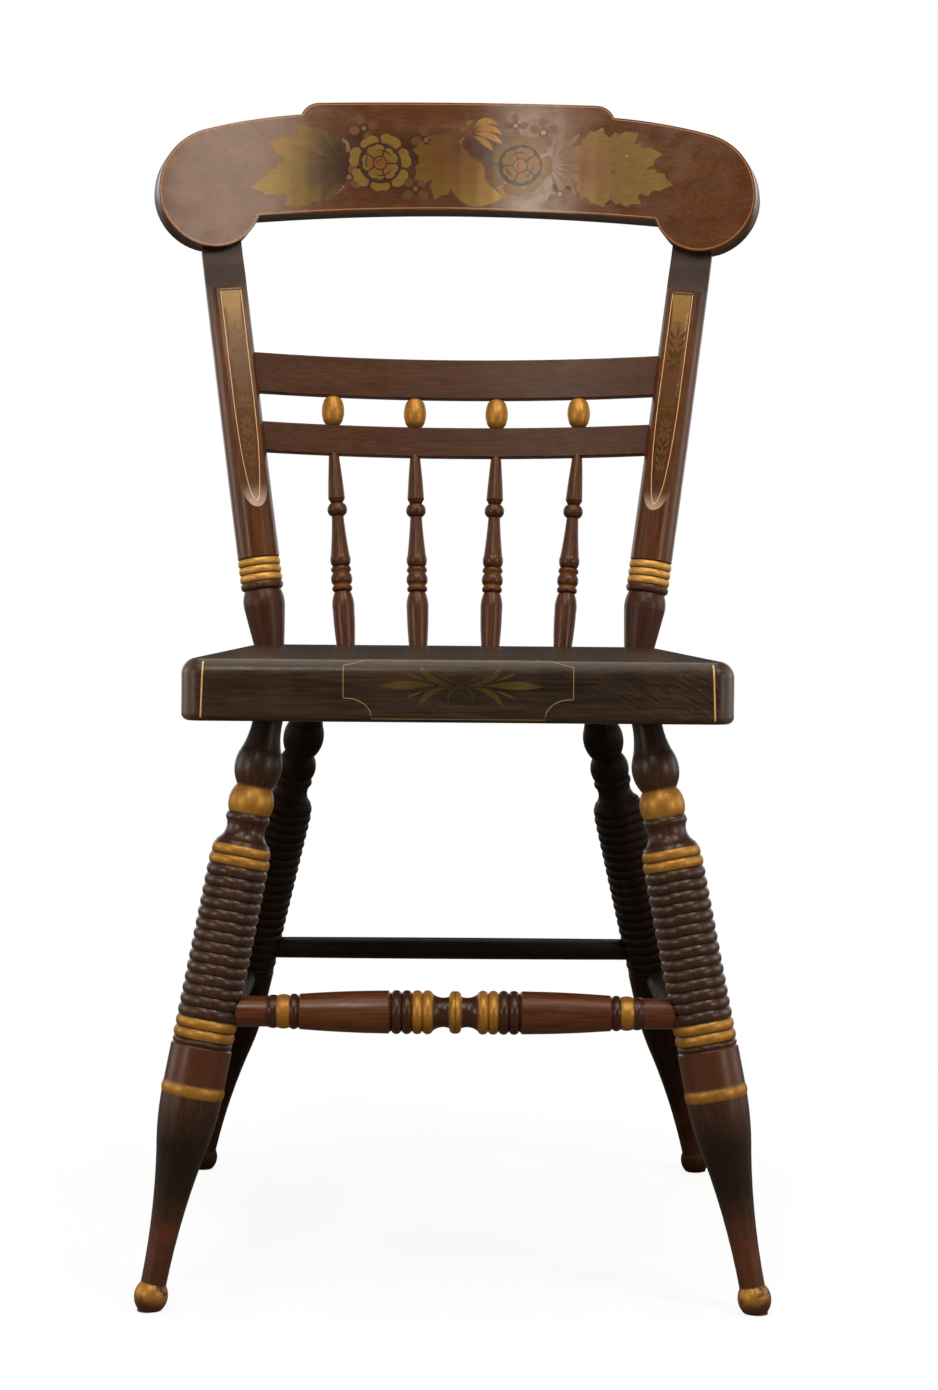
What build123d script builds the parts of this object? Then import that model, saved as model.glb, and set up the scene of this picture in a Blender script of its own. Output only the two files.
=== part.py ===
from build123d import *
import math
import os

# A painted side chair: a plank seat, four ring-turned legs, a turned show stretcher and three
# plain ones, two bent back posts with shaved fronts, a bent crest rail, two slats, four
# spindles and four turned beads. Millimetres. X runs across the chair (the pieces called
# right have positive X), Y runs from the front to the back, Z is up, and the floor is Z = 0.

# ---------------------------------------------------------------- driving sizes

# the plank seat
seat_height = 450.0
seat_thickness = 43.0
seat_depth = 415.0
seat_front_width = 381.0
seat_rear_width = 343.0
seat_front_corner = 15.0
seat_rear_corner = 24.0
seat_top_round = 11.0
seat_bottom_round = 5.0

# how the legs stand: their tops' distances from the seat's edges, and how far they lean out
# for each millimetre of height
front_leg_side_inset = 58.5
front_leg_edge_inset = 46.0
front_splay = 0.192
front_rake = 0.096
rear_leg_side_inset = 56.0
rear_leg_edge_inset = 31.0
rear_splay = 0.238
rear_rake = 0.209

# the turning of the legs: radii, and lengths along the leg
leg_neck_radius = 10.5
leg_tenon_length = 28.0
vase_radius = 16.6
vase_length = 48.6
ball_radius = 15.9
ball_length = 19.4
collar_radius = 15.4
collar_length = 6.5
cove_radius = 13.6
cove_length = 13.5
leg_radius = 21.3
ring_pitch = 7.62
ring_groove = 1.3
front_ring_count = 18
rear_ring_count = 19
last_ring_length = 3.8
plain_length = 27.5
band_length = 7.4
band_height = 0.8
ankle_radius = 8.9
foot_radius = 11.7
foot_height = 18.5
foot_flat_radius = 7.4

# the stretchers: the heights where their axes cross the legs, and their radii
front_stretcher_z = 204.6
rear_stretcher_z = 195.5
side_stretcher_z = 171.0
rear_stretcher_radius = 9.0
side_stretcher_radius = 10.4
plain_end_radius = 8.6
show_end_radius = 10.6
show_groove_radius = 11.0
barrel_low_radius = 12.3
barrel_high_radius = 14.9
show_ring_radius = 15.2
show_ring_groove = 12.9
show_ring_pitch = 7.2
show_middle_radius = 14.6
show_middle_length = 8.2
show_cove_radius = 10.2
show_cove_length = 11.5
show_ring_count = 4
barrel_length = 61.1
small_ring_lengths = (5.8, 8.6, 5.6)
stretcher_tenon_radius = 7.0
tenon_past_axis = 4.0

# the back posts: where they stand, how they splay and lean, and how they are bent
post_side_inset = 20.2
post_edge_inset = 33.0
post_splay = 0.136
post_lean = 0.11
post_radius = 17.1
post_foot_radius = 12.0
post_vase_length = 45.2
post_ring_pitch = 6.5
post_ring_count = 4
post_ring_groove = 1.0
post_tenon_radius = 9.5
post_tenon_length = 27.0
post_straight = 81.0
post_length = 341.0
post_bend = 8.8

# the shaving of the posts, whose flat front is turned towards the chair's middle
flat_turn = 20.0
flat_start = 112.0
flat_run_out = 24.0
flat_top = 298.5
flat_depth = 4.9
flat_low_depth = 4.0
neck_front = 1.5
neck_back = 6.5
back_shave_length = 105.0
tongue_width = 24.0
tongue_thickness = 5.0
tongue_length = 20.0
tongue_shoulder = 0.6

# the bent crest rail, whose round end lobes stand over the posts
crest_radius = 600.0
crest_thickness = 15.5
crest_lean = 14.5
crest_middle_bottom = 41.5
crest_middle_top = 138.5
crest_top_arch = 1040.0
crest_bottom_arch = 850.0
crest_plateau = 117.5
crest_step = 131.5
crest_shoulder = 120.6
lobe_past_post = 12.6
lobe_height = 36.8
lobe_radius = 44.0
lobe_outer_radius = 63.5
lobe_crown_angle = 67.0

# the two slats, cut from one bend
slat_radius = 700.0
slat_thickness = 8.0
slat_lean = 10.3
lower_slat_height = 25.2
upper_slat_height = 33.6
slat_gap = 24.2
lower_slat_rise = 171.5
slat_tenon_thickness = 5.5
slat_tenon_shoulder = 2.5
slat_tenon_depth = 13.0
slat_edge_round = 1.2

# the spindles between the seat and the lower slat, and the beads between the slats
spindle_count = 4
spindle_head_spacing = 67.2
spindle_foot_spacing = 59.4
spindle_inner_inset = 19.0
spindle_outer_inset = 23.0
spindle_radius = 9.0
spindle_vase_length = 44.5
spindle_ring_length = 5.3
spindle_bead_length = 10.6
spindle_taper_length = 41.8
spindle_high_bead_length = 11.0
spindle_neck_radius = 3.8
spindle_tenon_radius = 5.5
spindle_tenon_length = 20.0
bead_spacing = 68.0
bead_radius = 9.4
bead_end_radius = 4.4
small_tenon_radius = 2.8
small_tenon_length = 9.0

# the gap left round every tenon, the one left at a scribed shoulder, and the room left at
# the bottom of a socket
glue_gap = 0.15
scribe_gap = 0.2
socket_room = 1.0

seat_front_y = -seat_depth / 2
seat_rear_y = seat_depth / 2
seat_underside = seat_height - seat_thickness
lower_slat_z = seat_height + lower_slat_rise


# ---------------------------------------------------------------- small helpers

def frame_between(low, high):
    """A plane whose origin is the low point and whose Z axis runs to the high point."""
    direction = (Vector(high) - Vector(low)).normalized()
    across = Vector(0, 1, 0).cross(direction).normalized()
    return Plane(origin=low, x_dir=across, z_dir=direction)


def distance(a, b):
    return (Vector(a) - Vector(b)).length


def along(low, high, z):
    """The point of the line from low to high at the height z."""
    low, high = Vector(low), Vector(high)
    return tuple(low + (high - low) * ((z - low.Z) / (high.Z - low.Z)))


def other_side(point):
    """The same point on the left of the chair."""
    return (-point[0], point[1], point[2])


def mirrored(solid):
    return mirror(solid, about=Plane.YZ)


def one(shape):
    """The single solid of a result."""
    return max(shape.solids(), key=lambda solid: solid.volume)


def turn(outline):
    """A lathe-turned solid from edges drawn as (radius, height), from axis to axis."""
    closing = Line(outline[-1] @ 1, outline[0] @ 0)
    return revolve(Plane.XZ * make_face([*outline, closing]), Axis.Z, 360)


def bead(start, end, groove, crest):
    """A half-round ring between two heights."""
    return ThreePointArc((groove, start), (crest, (start + end) / 2), (groove, end))


def rod(low, high, radius):
    """A round rod from one point to another."""
    length = distance(low, high)
    return frame_between(low, high) * Cylinder(radius, length, align=(Align.CENTER, Align.CENTER, Align.MIN))


def socket(mouth, end, radius):
    """The bore for a round tenon that runs from the bore's mouth to the tenon's end."""
    mouth, end = Vector(mouth), Vector(end)
    reach = (end - mouth).normalized()
    clear_of_mouth = 6.0
    return rod(tuple(mouth - reach * clear_of_mouth), tuple(end + reach * socket_room), radius + glue_gap)


# ---------------------------------------------------------------- the legs

def leg_outline(length, ring_count):
    """Half the section of a leg, from the top of its tenon down to below the floor.

    Heights are measured from the seat's underside along the leg, so they are negative.
    """
    groove = leg_radius - ring_groove
    waist = vase_radius * 0.735
    ball_end = ball_radius * 0.887
    shoulder_radius = leg_radius * 0.855
    first_groove = groove - 0.8
    vase_bottom = -vase_length
    ball_bottom = vase_bottom - ball_length
    collar_bottom = ball_bottom - collar_length
    shoulder = collar_bottom - cove_length
    rings_top = shoulder - 2.1
    rings_bottom = rings_top - ring_count * ring_pitch
    plain_top = rings_bottom - last_ring_length
    plain_bottom = plain_top - plain_length
    band_bottom = plain_bottom - band_length
    foot_top = foot_height - length
    taper = band_bottom - foot_top
    inflection = (leg_radius * 0.78, foot_top + taper * 0.69)
    edges = [
        Line((0, leg_tenon_length), (leg_neck_radius, leg_tenon_length)),
        Line((leg_neck_radius, leg_tenon_length), (leg_neck_radius, 0)),
        ThreePointArc(
            (leg_neck_radius, 0), (leg_neck_radius * 1.06, -vase_length * 0.24),
            (vase_radius * 0.83, -vase_length * 0.46),
        ),
        ThreePointArc(
            (vase_radius * 0.83, -vase_length * 0.46), (vase_radius, -vase_length * 0.71),
            (waist, vase_bottom),
        ),
        ThreePointArc(
            (waist, vase_bottom), (ball_radius, vase_bottom - ball_length * 0.55), (ball_end, ball_bottom)
        ),
        bead(ball_bottom, collar_bottom, ball_end, collar_radius),
        ThreePointArc(
            (ball_end, collar_bottom), (cove_radius, collar_bottom - cove_length * 0.44),
            (shoulder_radius, shoulder),
        ),
        Line((shoulder_radius, shoulder), (first_groove, rings_top)),
    ]
    for ring in range(ring_count):
        start = rings_top - ring * ring_pitch
        upper = first_groove if ring == 0 else groove
        crest = leg_radius - (0.8 if ring == 0 else 0.0)
        end = start - ring_pitch
        edges.append(ThreePointArc((upper, start), (crest, (start + end) / 2), (groove, end)))
    edges += [
        bead(rings_bottom, plain_top, groove, leg_radius - 0.4),
        Line((groove, plain_top), (leg_radius, plain_top - ring_groove)),
        Line((leg_radius, plain_top - ring_groove), (leg_radius, plain_bottom)),
        bead(plain_bottom, band_bottom, leg_radius, leg_radius + band_height),
        ThreePointArc(
            (leg_radius, band_bottom), (leg_radius * 0.93, foot_top + taper * 0.84), inflection
        ),
        ThreePointArc(
            inflection, (ankle_radius * 1.3, foot_top + taper * 0.41), (ankle_radius, foot_top)
        ),
        ThreePointArc(
            (ankle_radius, foot_top), (foot_radius, foot_height * 0.54 - length), (foot_flat_radius, -length)
        ),
        Line((foot_flat_radius, -length), (foot_flat_radius, -length - foot_radius)),
        Line((foot_flat_radius, -length - foot_radius), (0, -length - foot_radius)),
    ]
    return edges


def leg(foot, top, ring_count):
    """A turned leg from its foot to its tenon in the seat, sawn flat where it meets the floor."""
    outline = leg_outline(distance(foot, top), ring_count)
    stand = frame_between(foot, top)
    place = Plane(origin=top, x_dir=stand.x_dir, z_dir=stand.z_dir)
    floor = Pos(foot[0], foot[1], 0) * Box(
        4 * foot_radius, 4 * foot_radius, 2 * foot_radius, align=(Align.CENTER, Align.CENTER, Align.MAX)
    )
    return one(place * turn(outline) - floor)


front_top = (seat_front_width / 2 - front_leg_side_inset, seat_front_y + front_leg_edge_inset, seat_underside)
rear_top = (seat_rear_width / 2 - rear_leg_side_inset, seat_rear_y - rear_leg_edge_inset, seat_underside)
front_foot = (front_top[0] + front_splay * seat_underside, front_top[1] - front_rake * seat_underside, 0.0)
rear_foot = (rear_top[0] + rear_splay * seat_underside, rear_top[1] + rear_rake * seat_underside, 0.0)
front_leg = leg(front_foot, front_top, front_ring_count)
rear_leg = leg(rear_foot, rear_top, rear_ring_count)


# ---------------------------------------------------------------- the stretchers

def show_outline(half):
    """Half the section of the show stretcher, from its middle to its shoulder at the leg."""
    groove = show_ring_groove
    slope = 1.5
    middle_half = show_middle_length / 2
    cove_end = middle_half + show_cove_length
    rings_end = cove_end + show_ring_count * show_ring_pitch
    barrel_start = rings_end + 2.0
    barrel_end = barrel_start + barrel_length
    barrel_middle = ((barrel_high_radius + barrel_low_radius) / 2 + 0.5, barrel_start + barrel_length / 2)
    edges = [
        Line((0, 0), (show_middle_radius, 0)),
        ThreePointArc(
            (show_middle_radius, 0), (show_middle_radius - 0.4, middle_half * 0.63),
            (show_groove_radius, middle_half),
        ),
        ThreePointArc(
            (show_groove_radius, middle_half), (show_cove_radius, middle_half + show_cove_length * 0.3),
            (groove, cove_end),
        ),
    ]
    for number in range(show_ring_count):
        start = cove_end + number * show_ring_pitch
        edges.append(bead(start, start + show_ring_pitch, groove, show_ring_radius))
    edges += [
        Line((groove, rings_end), (barrel_high_radius, barrel_start)),
        ThreePointArc((barrel_high_radius, barrel_start), barrel_middle, (barrel_low_radius, barrel_end)),
        Line((barrel_low_radius, barrel_end), (show_groove_radius, barrel_end + slope)),
    ]
    start = barrel_end + slope
    for number, length in enumerate(small_ring_lengths):
        crest = barrel_low_radius - 0.35 * number
        edges.append(bead(start, start + length, show_groove_radius, crest))
        start += length
    edges += [
        Line((show_groove_radius, start), (show_end_radius, start + slope)),
        Line((show_end_radius, start + slope), (show_end_radius, half)),
        Line((show_end_radius, half), (0, half)),
    ]
    return edges


def plain_outline(half, middle_radius):
    """Half the section of a plain stretcher that swells a little towards its middle."""
    three_quarters = middle_radius + (plain_end_radius - middle_radius) * 0.25
    return [
        Line((0, 0), (middle_radius, 0)),
        ThreePointArc((middle_radius, 0), (three_quarters, half / 2), (plain_end_radius, half)),
        Line((plain_end_radius, half), (0, half)),
    ]


def stretcher(start, end, outline, start_leg, end_leg):
    """A stretcher between two leg axes, with its shoulders scribed round the legs.

    Returns the solid and the two ends of each of its tenons, mouth first.
    """
    start, end = Vector(start), Vector(end)
    place = frame_between(tuple((start + end) * 0.5), tuple(end))
    half = turn(outline)
    body = place * half + place * mirror(half, about=Plane.XY)
    for low, high in (start_leg, end_leg):
        body -= rod(low, high, leg_radius + scribe_gap)
    direction = (end - start).normalized()
    root = direction * (leg_radius * 1.6)
    past = direction * tenon_past_axis
    tenons = [(tuple(start + root), tuple(start - past)), (tuple(end - root), tuple(end + past))]
    for mouth, tip in tenons:
        body += rod(mouth, tip, stretcher_tenon_radius)
    return one(body), tenons


front_axis = (front_foot, front_top)
rear_axis = (rear_foot, rear_top)
front_axis_left = (other_side(front_foot), other_side(front_top))
rear_axis_left = (other_side(rear_foot), other_side(rear_top))
front_joint = along(*front_axis, front_stretcher_z)
rear_joint = along(*rear_axis, rear_stretcher_z)
side_front_joint = along(*front_axis, side_stretcher_z)
side_rear_joint = along(*rear_axis, side_stretcher_z)

front_stretcher, front_tenons = stretcher(
    other_side(front_joint), front_joint, show_outline(front_joint[0]), front_axis_left, front_axis
)
rear_stretcher, rear_tenons = stretcher(
    other_side(rear_joint), rear_joint, plain_outline(rear_joint[0], rear_stretcher_radius),
    rear_axis_left, rear_axis,
)
side_stretcher, side_tenons = stretcher(
    side_front_joint, side_rear_joint,
    plain_outline(distance(side_front_joint, side_rear_joint) / 2, side_stretcher_radius),
    front_axis, rear_axis,
)
for tenon in (front_tenons[1], side_tenons[0]):
    front_leg -= socket(*tenon, stretcher_tenon_radius)
for tenon in (rear_tenons[1], side_tenons[1]):
    rear_leg -= socket(*tenon, stretcher_tenon_radius)


# ---------------------------------------------------------------- the back posts

post_root = Vector(seat_rear_width / 2 - post_side_inset, seat_rear_y - post_edge_inset, seat_height)
post_direction = Vector(post_splay, post_lean, 1).normalized()
bend_back = (Vector(0, 1, 0) - post_direction * post_direction.Y).normalized()
post_frame = Plane(origin=post_root, x_dir=bend_back.cross(post_direction), z_dir=post_direction)
bend_radius = (post_length - post_straight) / math.radians(post_bend)


def bend_point(reach):
    """Where the post's bent centre line is at some length above the seat, as (back, up)."""
    if reach <= post_straight:
        return (0.0, reach)
    angle = (reach - post_straight) / bend_radius
    return (bend_radius * (1 - math.cos(angle)), post_straight + bend_radius * math.sin(angle))


def shave_point(reach, offset):
    """A point of a cut square to the turned flats: how far up the post, and behind its centre line."""
    back, up = bend_point(reach)
    return (back * math.cos(math.radians(flat_turn)) + offset, up)


def shave(edges):
    """A cutter that planes the post square to its turned flats."""
    face = Plane.YZ * make_face(edges)
    return Rot(0, 0, -flat_turn) * extrude(face, amount=2 * post_radius, both=True)


def post_turning():
    """The turned lower end of a post, up to where the bend begins."""
    groove = post_radius - post_ring_groove
    vase_end = post_radius * 0.855
    vase_middle = (post_radius * 0.985, post_vase_length * 0.71)
    below_seat = 6.0
    rings_top = post_vase_length + post_ring_count * post_ring_pitch
    edges = [
        Line((0, -below_seat), (post_foot_radius - 0.6, -below_seat)),
        ThreePointArc(
            (post_foot_radius - 0.6, -below_seat), (post_radius * 0.84, post_vase_length * 0.31), vase_middle
        ),
        ThreePointArc(
            vase_middle, (post_radius * 0.965, post_vase_length * 0.87), (vase_end, post_vase_length)
        ),
    ]
    for number in range(post_ring_count):
        start = post_vase_length + number * post_ring_pitch
        end = start + post_ring_pitch
        lower = vase_end if number == 0 else groove
        edges.append(ThreePointArc((lower, start), (post_radius + 0.3, (start + end) / 2), (groove, end)))
    edges += [
        Line((groove, rings_top), (post_radius, rings_top + post_ring_groove)),
        Line((post_radius, rings_top + post_ring_groove), (post_radius, post_straight)),
        Line((post_radius, post_straight), (0, post_straight)),
    ]
    return turn(edges)


def post_blank():
    """The whole round post: turned below, bent above, and a little longer than it ends up."""
    section = Plane.XY.offset(post_straight) * Circle(post_radius)
    bend_axis = Axis((0, bend_radius, post_straight), (-1, 0, 0))
    spare = math.degrees(post_radius / bend_radius)
    return post_turning() + revolve(section, bend_axis, post_bend + spare)


def front_shaving():
    """What is shaved off the front: a long flat with a spoon-shaped end, and a cove under the crest."""
    clear = -4.0 * post_radius
    flat_low = flat_start + flat_run_out
    flat_middle = (flat_low + flat_top) / 2
    tip = shave_point(flat_start, -post_radius)
    run_out = shave_point(flat_start + flat_run_out * 0.45, flat_low_depth * 0.72 - post_radius)
    low = shave_point(flat_low, flat_low_depth - post_radius)
    middle = shave_point(flat_middle, (flat_low_depth + flat_depth) / 2 - post_radius)
    top = shave_point(flat_top, flat_depth - post_radius)
    cove = shave_point(flat_top + 9.0, -neck_front - 4.5)
    neck = shave_point(post_length - 6.0, -neck_front)
    over = shave_point(post_length + 2 * post_radius, -neck_front + 1.0)
    return shave([
        ThreePointArc(tip, run_out, low),
        ThreePointArc(low, middle, top),
        Spline(top, cove, neck, over),
        Polyline(over, (clear, over[1]), (clear, tip[1] - 4.0), tip),
    ])


def back_shaving():
    """What is shaved off the back, to bring the post down to the crest's back face."""
    clear = 6.0 * post_radius
    start = shave_point(post_length - back_shave_length, post_radius)
    middle = shave_point(post_length - back_shave_length * 0.43, (post_radius + neck_back) / 2 + 1.2)
    end = shave_point(post_length + 2 * post_radius, neck_back)
    return shave([
        ThreePointArc(start, middle, end),
        Polyline(end, (clear, end[1]), (clear, start[1]), start),
    ])


back_at_top, up_at_top = bend_point(post_length)
bend_angle = math.radians(post_bend)
post_top_frame = Plane(
    origin=(0, back_at_top, up_at_top), x_dir=(1, 0, 0), z_dir=(0, math.sin(bend_angle), math.cos(bend_angle))
).rotated((0, 0, -flat_turn))


def tongue(gap):
    """The flat tongue on top of a post, or the mortise for it when the gap is not nought."""
    below_shoulder = 16.0
    behind = -neck_front + tongue_shoulder + tongue_thickness / 2
    block = Box(
        tongue_width + 2 * gap, tongue_thickness + 2 * gap, below_shoulder + tongue_length + gap,
        align=(Align.CENTER, Align.CENTER, Align.MIN),
    )
    return post_frame * (post_top_frame * Pos(0, behind, -below_shoulder) * block)


# ---------------------------------------------------------------- the crest rail

crest_angle = math.radians(crest_lean)
crest_back = Vector(0, math.cos(crest_angle), -math.sin(crest_angle))
crest_up = Vector(0, math.sin(crest_angle), math.cos(crest_angle))
post_top = post_frame.from_local_coords(Vector(0, back_at_top, up_at_top))
crest_over_post = post_top + crest_back * (neck_back - crest_thickness / 2)
crest_sag = crest_radius - math.sqrt(crest_radius ** 2 - crest_over_post.X ** 2)
crest_origin = Vector(0, crest_over_post.Y, crest_over_post.Z) + crest_back * (crest_sag - crest_radius)
crest_frame = Plane(origin=crest_origin, x_dir=(1, 0, 0), z_dir=crest_up)
lobe_centre = crest_radius * math.asin(post_top.X / crest_radius) + lobe_past_post
crest_cut = crest_radius + 5 * crest_thickness


def bent_board(radius, thickness, bottom, top, sweep):
    """A board bent round its frame's Z axis, between two heights and to both sides of +Y."""
    inner, outer = radius - thickness / 2, radius + thickness / 2
    section = Polyline((inner, bottom), (outer, bottom), (outer, top), (inner, top), (inner, bottom))
    swept = revolve(Plane.XZ * make_face(section), Axis.Z, 2 * sweep)
    return Rot(0, 0, 90 - sweep) * swept


def arch_point(height, radius, across):
    """A point of a gentle arch, at some distance from its middle."""
    return (across, height - (radius - math.sqrt(radius ** 2 - across ** 2)))


def top_edge(across):
    return arch_point(crest_middle_top, crest_top_arch, across)


def bottom_edge(across):
    return arch_point(crest_middle_bottom, crest_bottom_arch, across)


def crest_middle_block():
    """The middle of the crest's outline: a raised plateau over an arched lower edge."""
    reach = lobe_centre - lobe_radius * 0.82
    step_end = (crest_step + 1.5, crest_shoulder - 6.0)
    plateau = ThreePointArc(top_edge(0), top_edge(crest_plateau / 2), top_edge(crest_plateau))
    half = [
        plateau,
        TangentArc(top_edge(crest_plateau), step_end, tangent=plateau % 1),
        Polyline(step_end, (reach, crest_shoulder - 30.0), bottom_edge(reach)),
        ThreePointArc(bottom_edge(0), bottom_edge(reach / 2), bottom_edge(reach)),
    ]
    face = make_face([*half, *[mirror(edge, about=Plane.YZ) for edge in half]])
    return Plane.XZ * extrude(face, amount=-crest_cut)


def around(centre, radius, degrees):
    """The point of a circle at some angle above the level line to the right."""
    angle = math.radians(degrees)
    return (centre[0] + radius * math.cos(angle), centre[1] + radius * math.sin(angle))


def lobe_block():
    """The right-hand end of the crest's outline, cut square to the bent board where it lies."""
    lobe = (0.0, lobe_height)
    outer = (lobe_radius - lobe_outer_radius, lobe_height)
    tip = around(lobe, lobe_radius, 0)
    inner_end = around(lobe, lobe_radius, 180)
    crown = around(outer, lobe_outer_radius, lobe_crown_angle)
    step = (crest_step - lobe_centre - 4.0, crest_shoulder + 0.6)
    outer_arc = ThreePointArc(tip, around(outer, lobe_outer_radius, lobe_crown_angle / 2), crown)
    face = make_face([
        outer_arc,
        TangentArc(crown, step, tangent=outer_arc % 1),
        Polyline(step, (step[0], lobe_height + 20.0), (-lobe_radius, lobe_height + 20.0), inner_end),
        ThreePointArc(inner_end, around(lobe, lobe_radius, 270), tip),
    ])
    block = Plane.XZ * extrude(face, amount=-crest_cut)
    return Rot(0, 0, -math.degrees(lobe_centre / crest_radius)) * block


right_lobe = lobe_block()
crest_outline = crest_middle_block() + right_lobe + mirrored(right_lobe)
crest_sweep = math.degrees((lobe_centre + lobe_radius) / crest_radius) + 6.0
crest_blank = one(crest_outline & bent_board(
    crest_radius, crest_thickness, lobe_height - lobe_radius - 10.0, crest_middle_top + 10.0, crest_sweep
))

# ---------------------------------------------------------------- the slats

slat_angle = math.radians(slat_lean)
slat_up = Vector(0, math.sin(slat_angle), math.cos(slat_angle))
slat_back = Vector(0, math.cos(slat_angle), -math.sin(slat_angle))


def post_axis_at(z):
    """The point of the right-hand post's centre line at a height, found by halving."""
    low, high = 0.0, post_length
    for _ in range(40):
        middle = (low + high) / 2
        point = post_frame.from_local_coords(Vector(0, *bend_point(middle)))
        if point.Z < z:
            low = middle
        else:
            high = middle
    return point


slat_end = post_axis_at(lower_slat_z)
slat_sag = slat_radius - math.sqrt(slat_radius ** 2 - slat_end.X ** 2)
slat_origin = Vector(0, slat_end.Y, slat_end.Z) + slat_back * (slat_sag - slat_radius)
slat_frame = Plane(origin=slat_origin, x_dir=(1, 0, 0), z_dir=slat_up)
slat_sweep = math.degrees(slat_end.X / slat_radius) + 6.0
lower_top = lower_slat_height / 2
upper_bottom = lower_top + slat_gap
upper_top = upper_bottom + upper_slat_height


def slat_point(across, up):
    """A point on the slats' middle surface."""
    back = math.sqrt(slat_radius ** 2 - across ** 2)
    return slat_frame.from_local_coords(Vector(across, back, up))


def slat_reach(bottom, top):
    """How far out the posts' centre lines are at the middle of a slat."""
    return post_axis_at(lower_slat_z + (bottom + top) / 2 * math.cos(slat_angle)).X


def slat_blank(bottom, top, thickness, half_length):
    board = bent_board(slat_radius, thickness, bottom, top, slat_sweep)
    return board & (Pos(0, slat_radius, 0) * Box(2 * half_length, slat_radius, slat_radius))


def slat(bottom, top):
    """A slat that still ends inside the posts, before its tenons are made."""
    board = one(slat_blank(bottom, top, slat_thickness, slat_reach(bottom, top)))
    return slat_frame * one(fillet(board.edges().filter_by(GeomType.CIRCLE), slat_edge_round))


def slat_tenon(bottom, top, gap):
    """The thinner strip that runs from post to post, or its mortise when the gap is not nought."""
    half_length = slat_reach(bottom, top) - post_radius + slat_tenon_depth
    return slat_frame * slat_blank(
        bottom + slat_tenon_shoulder - gap, top - slat_tenon_shoulder + gap,
        slat_tenon_thickness + 2 * gap, half_length + 4 * gap,
    )


# ---------------------------------------------------------------- posts, crest and slats meet

seat_space = Pos(0, 0, seat_height) * Box(
    2 * seat_front_width, 2 * seat_depth, 2 * seat_thickness, align=(Align.CENTER, Align.CENTER, Align.MAX)
)
post = post_frame * (post_blank() - front_shaving() - back_shaving())
post = one(post - seat_space - crest_frame * right_lobe)

lower_span = (-lower_top, lower_top)
upper_span = (upper_bottom, upper_top)
slats = []
for span in (lower_span, upper_span):
    board = one(slat(*span) - post - mirrored(post))
    slats.append(one(board + slat_tenon(*span, 0.0)))
lower_slat, upper_slat = slats

post -= slat_tenon(*lower_span, glue_gap)
post -= slat_tenon(*upper_span, glue_gap)
post_tenon_end = tuple(post_root - post_direction * post_tenon_length)
post_tenon_root = tuple(post_root + post_direction * 4.0)
post = one(post + tongue(0.0) + rod(post_tenon_end, post_tenon_root, post_tenon_radius))

mortise = tongue(glue_gap)
crest_rail = one(crest_frame * crest_blank - mortise - mirrored(mortise))


# ---------------------------------------------------------------- spindles and beads

def spindle_outline(length):
    """Half a spindle's section, from under the seat's surface up to its neck in the lower slat."""
    widest = spindle_radius
    groove = widest * 0.73
    slim = widest * 0.54
    past_the_ends = 4.0
    top = length + past_the_ends
    vase = spindle_vase_length
    vase_middle = (widest, vase * 0.67)
    bead_start = vase + spindle_ring_length
    bead_end = bead_start + spindle_bead_length
    rings_end = bead_end + spindle_ring_length
    taper_end = rings_end + spindle_taper_length
    taper_start = (widest * 0.86, rings_end + spindle_taper_length * 0.22)
    taper_middle = (widest * 0.66, rings_end + spindle_taper_length * 0.63)
    high_bead_end = taper_end + spindle_high_bead_length
    neck_start = (widest * 0.77, high_bead_end + 4.0)
    neck_middle = (widest * 0.65, high_bead_end + (top - high_bead_end) * 0.48)
    return [
        Line((0, -past_the_ends), (widest * 0.8, -past_the_ends)),
        ThreePointArc((widest * 0.8, -past_the_ends), (widest * 0.955, vase / 3), vase_middle),
        ThreePointArc(vase_middle, (widest * 0.935, vase * 0.876), (groove, vase)),
        bead(vase, bead_start, groove, widest * 0.93),
        bead(bead_start, bead_end, groove, widest * 0.98),
        bead(bead_end, rings_end, groove, widest * 0.93),
        ThreePointArc((groove, rings_end), (widest * 0.91, rings_end + 3.4), taper_start),
        ThreePointArc(taper_start, taper_middle, (slim, taper_end)),
        bead(taper_end, high_bead_end, slim, widest * 0.91),
        Line((slim, high_bead_end), neck_start),
        ThreePointArc(neck_start, neck_middle, (spindle_neck_radius, top)),
        Line((spindle_neck_radius, top), (0, top)),
    ]


def spindle(foot, head, slat_above):
    """A spindle, with its foot scribed to the seat and its neck to the slat above.

    Returns the solid and the two ends of its foot and head tenons, mouth first.
    """
    root = 3.0
    body = frame_between(foot, head) * turn(spindle_outline(distance(foot, head)))
    body = one(body - seat_space - slat_above)
    foot, head = Vector(foot), Vector(head)
    reach = (head - foot).normalized()
    foot_tenon = (tuple(foot + reach * root), tuple(foot - reach * spindle_tenon_length))
    head_tenon = (tuple(head - reach * root), tuple(head + reach * small_tenon_length))
    body += rod(*foot_tenon, spindle_tenon_radius)
    body += rod(*head_tenon, small_tenon_radius)
    return one(body), foot_tenon, head_tenon


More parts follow.
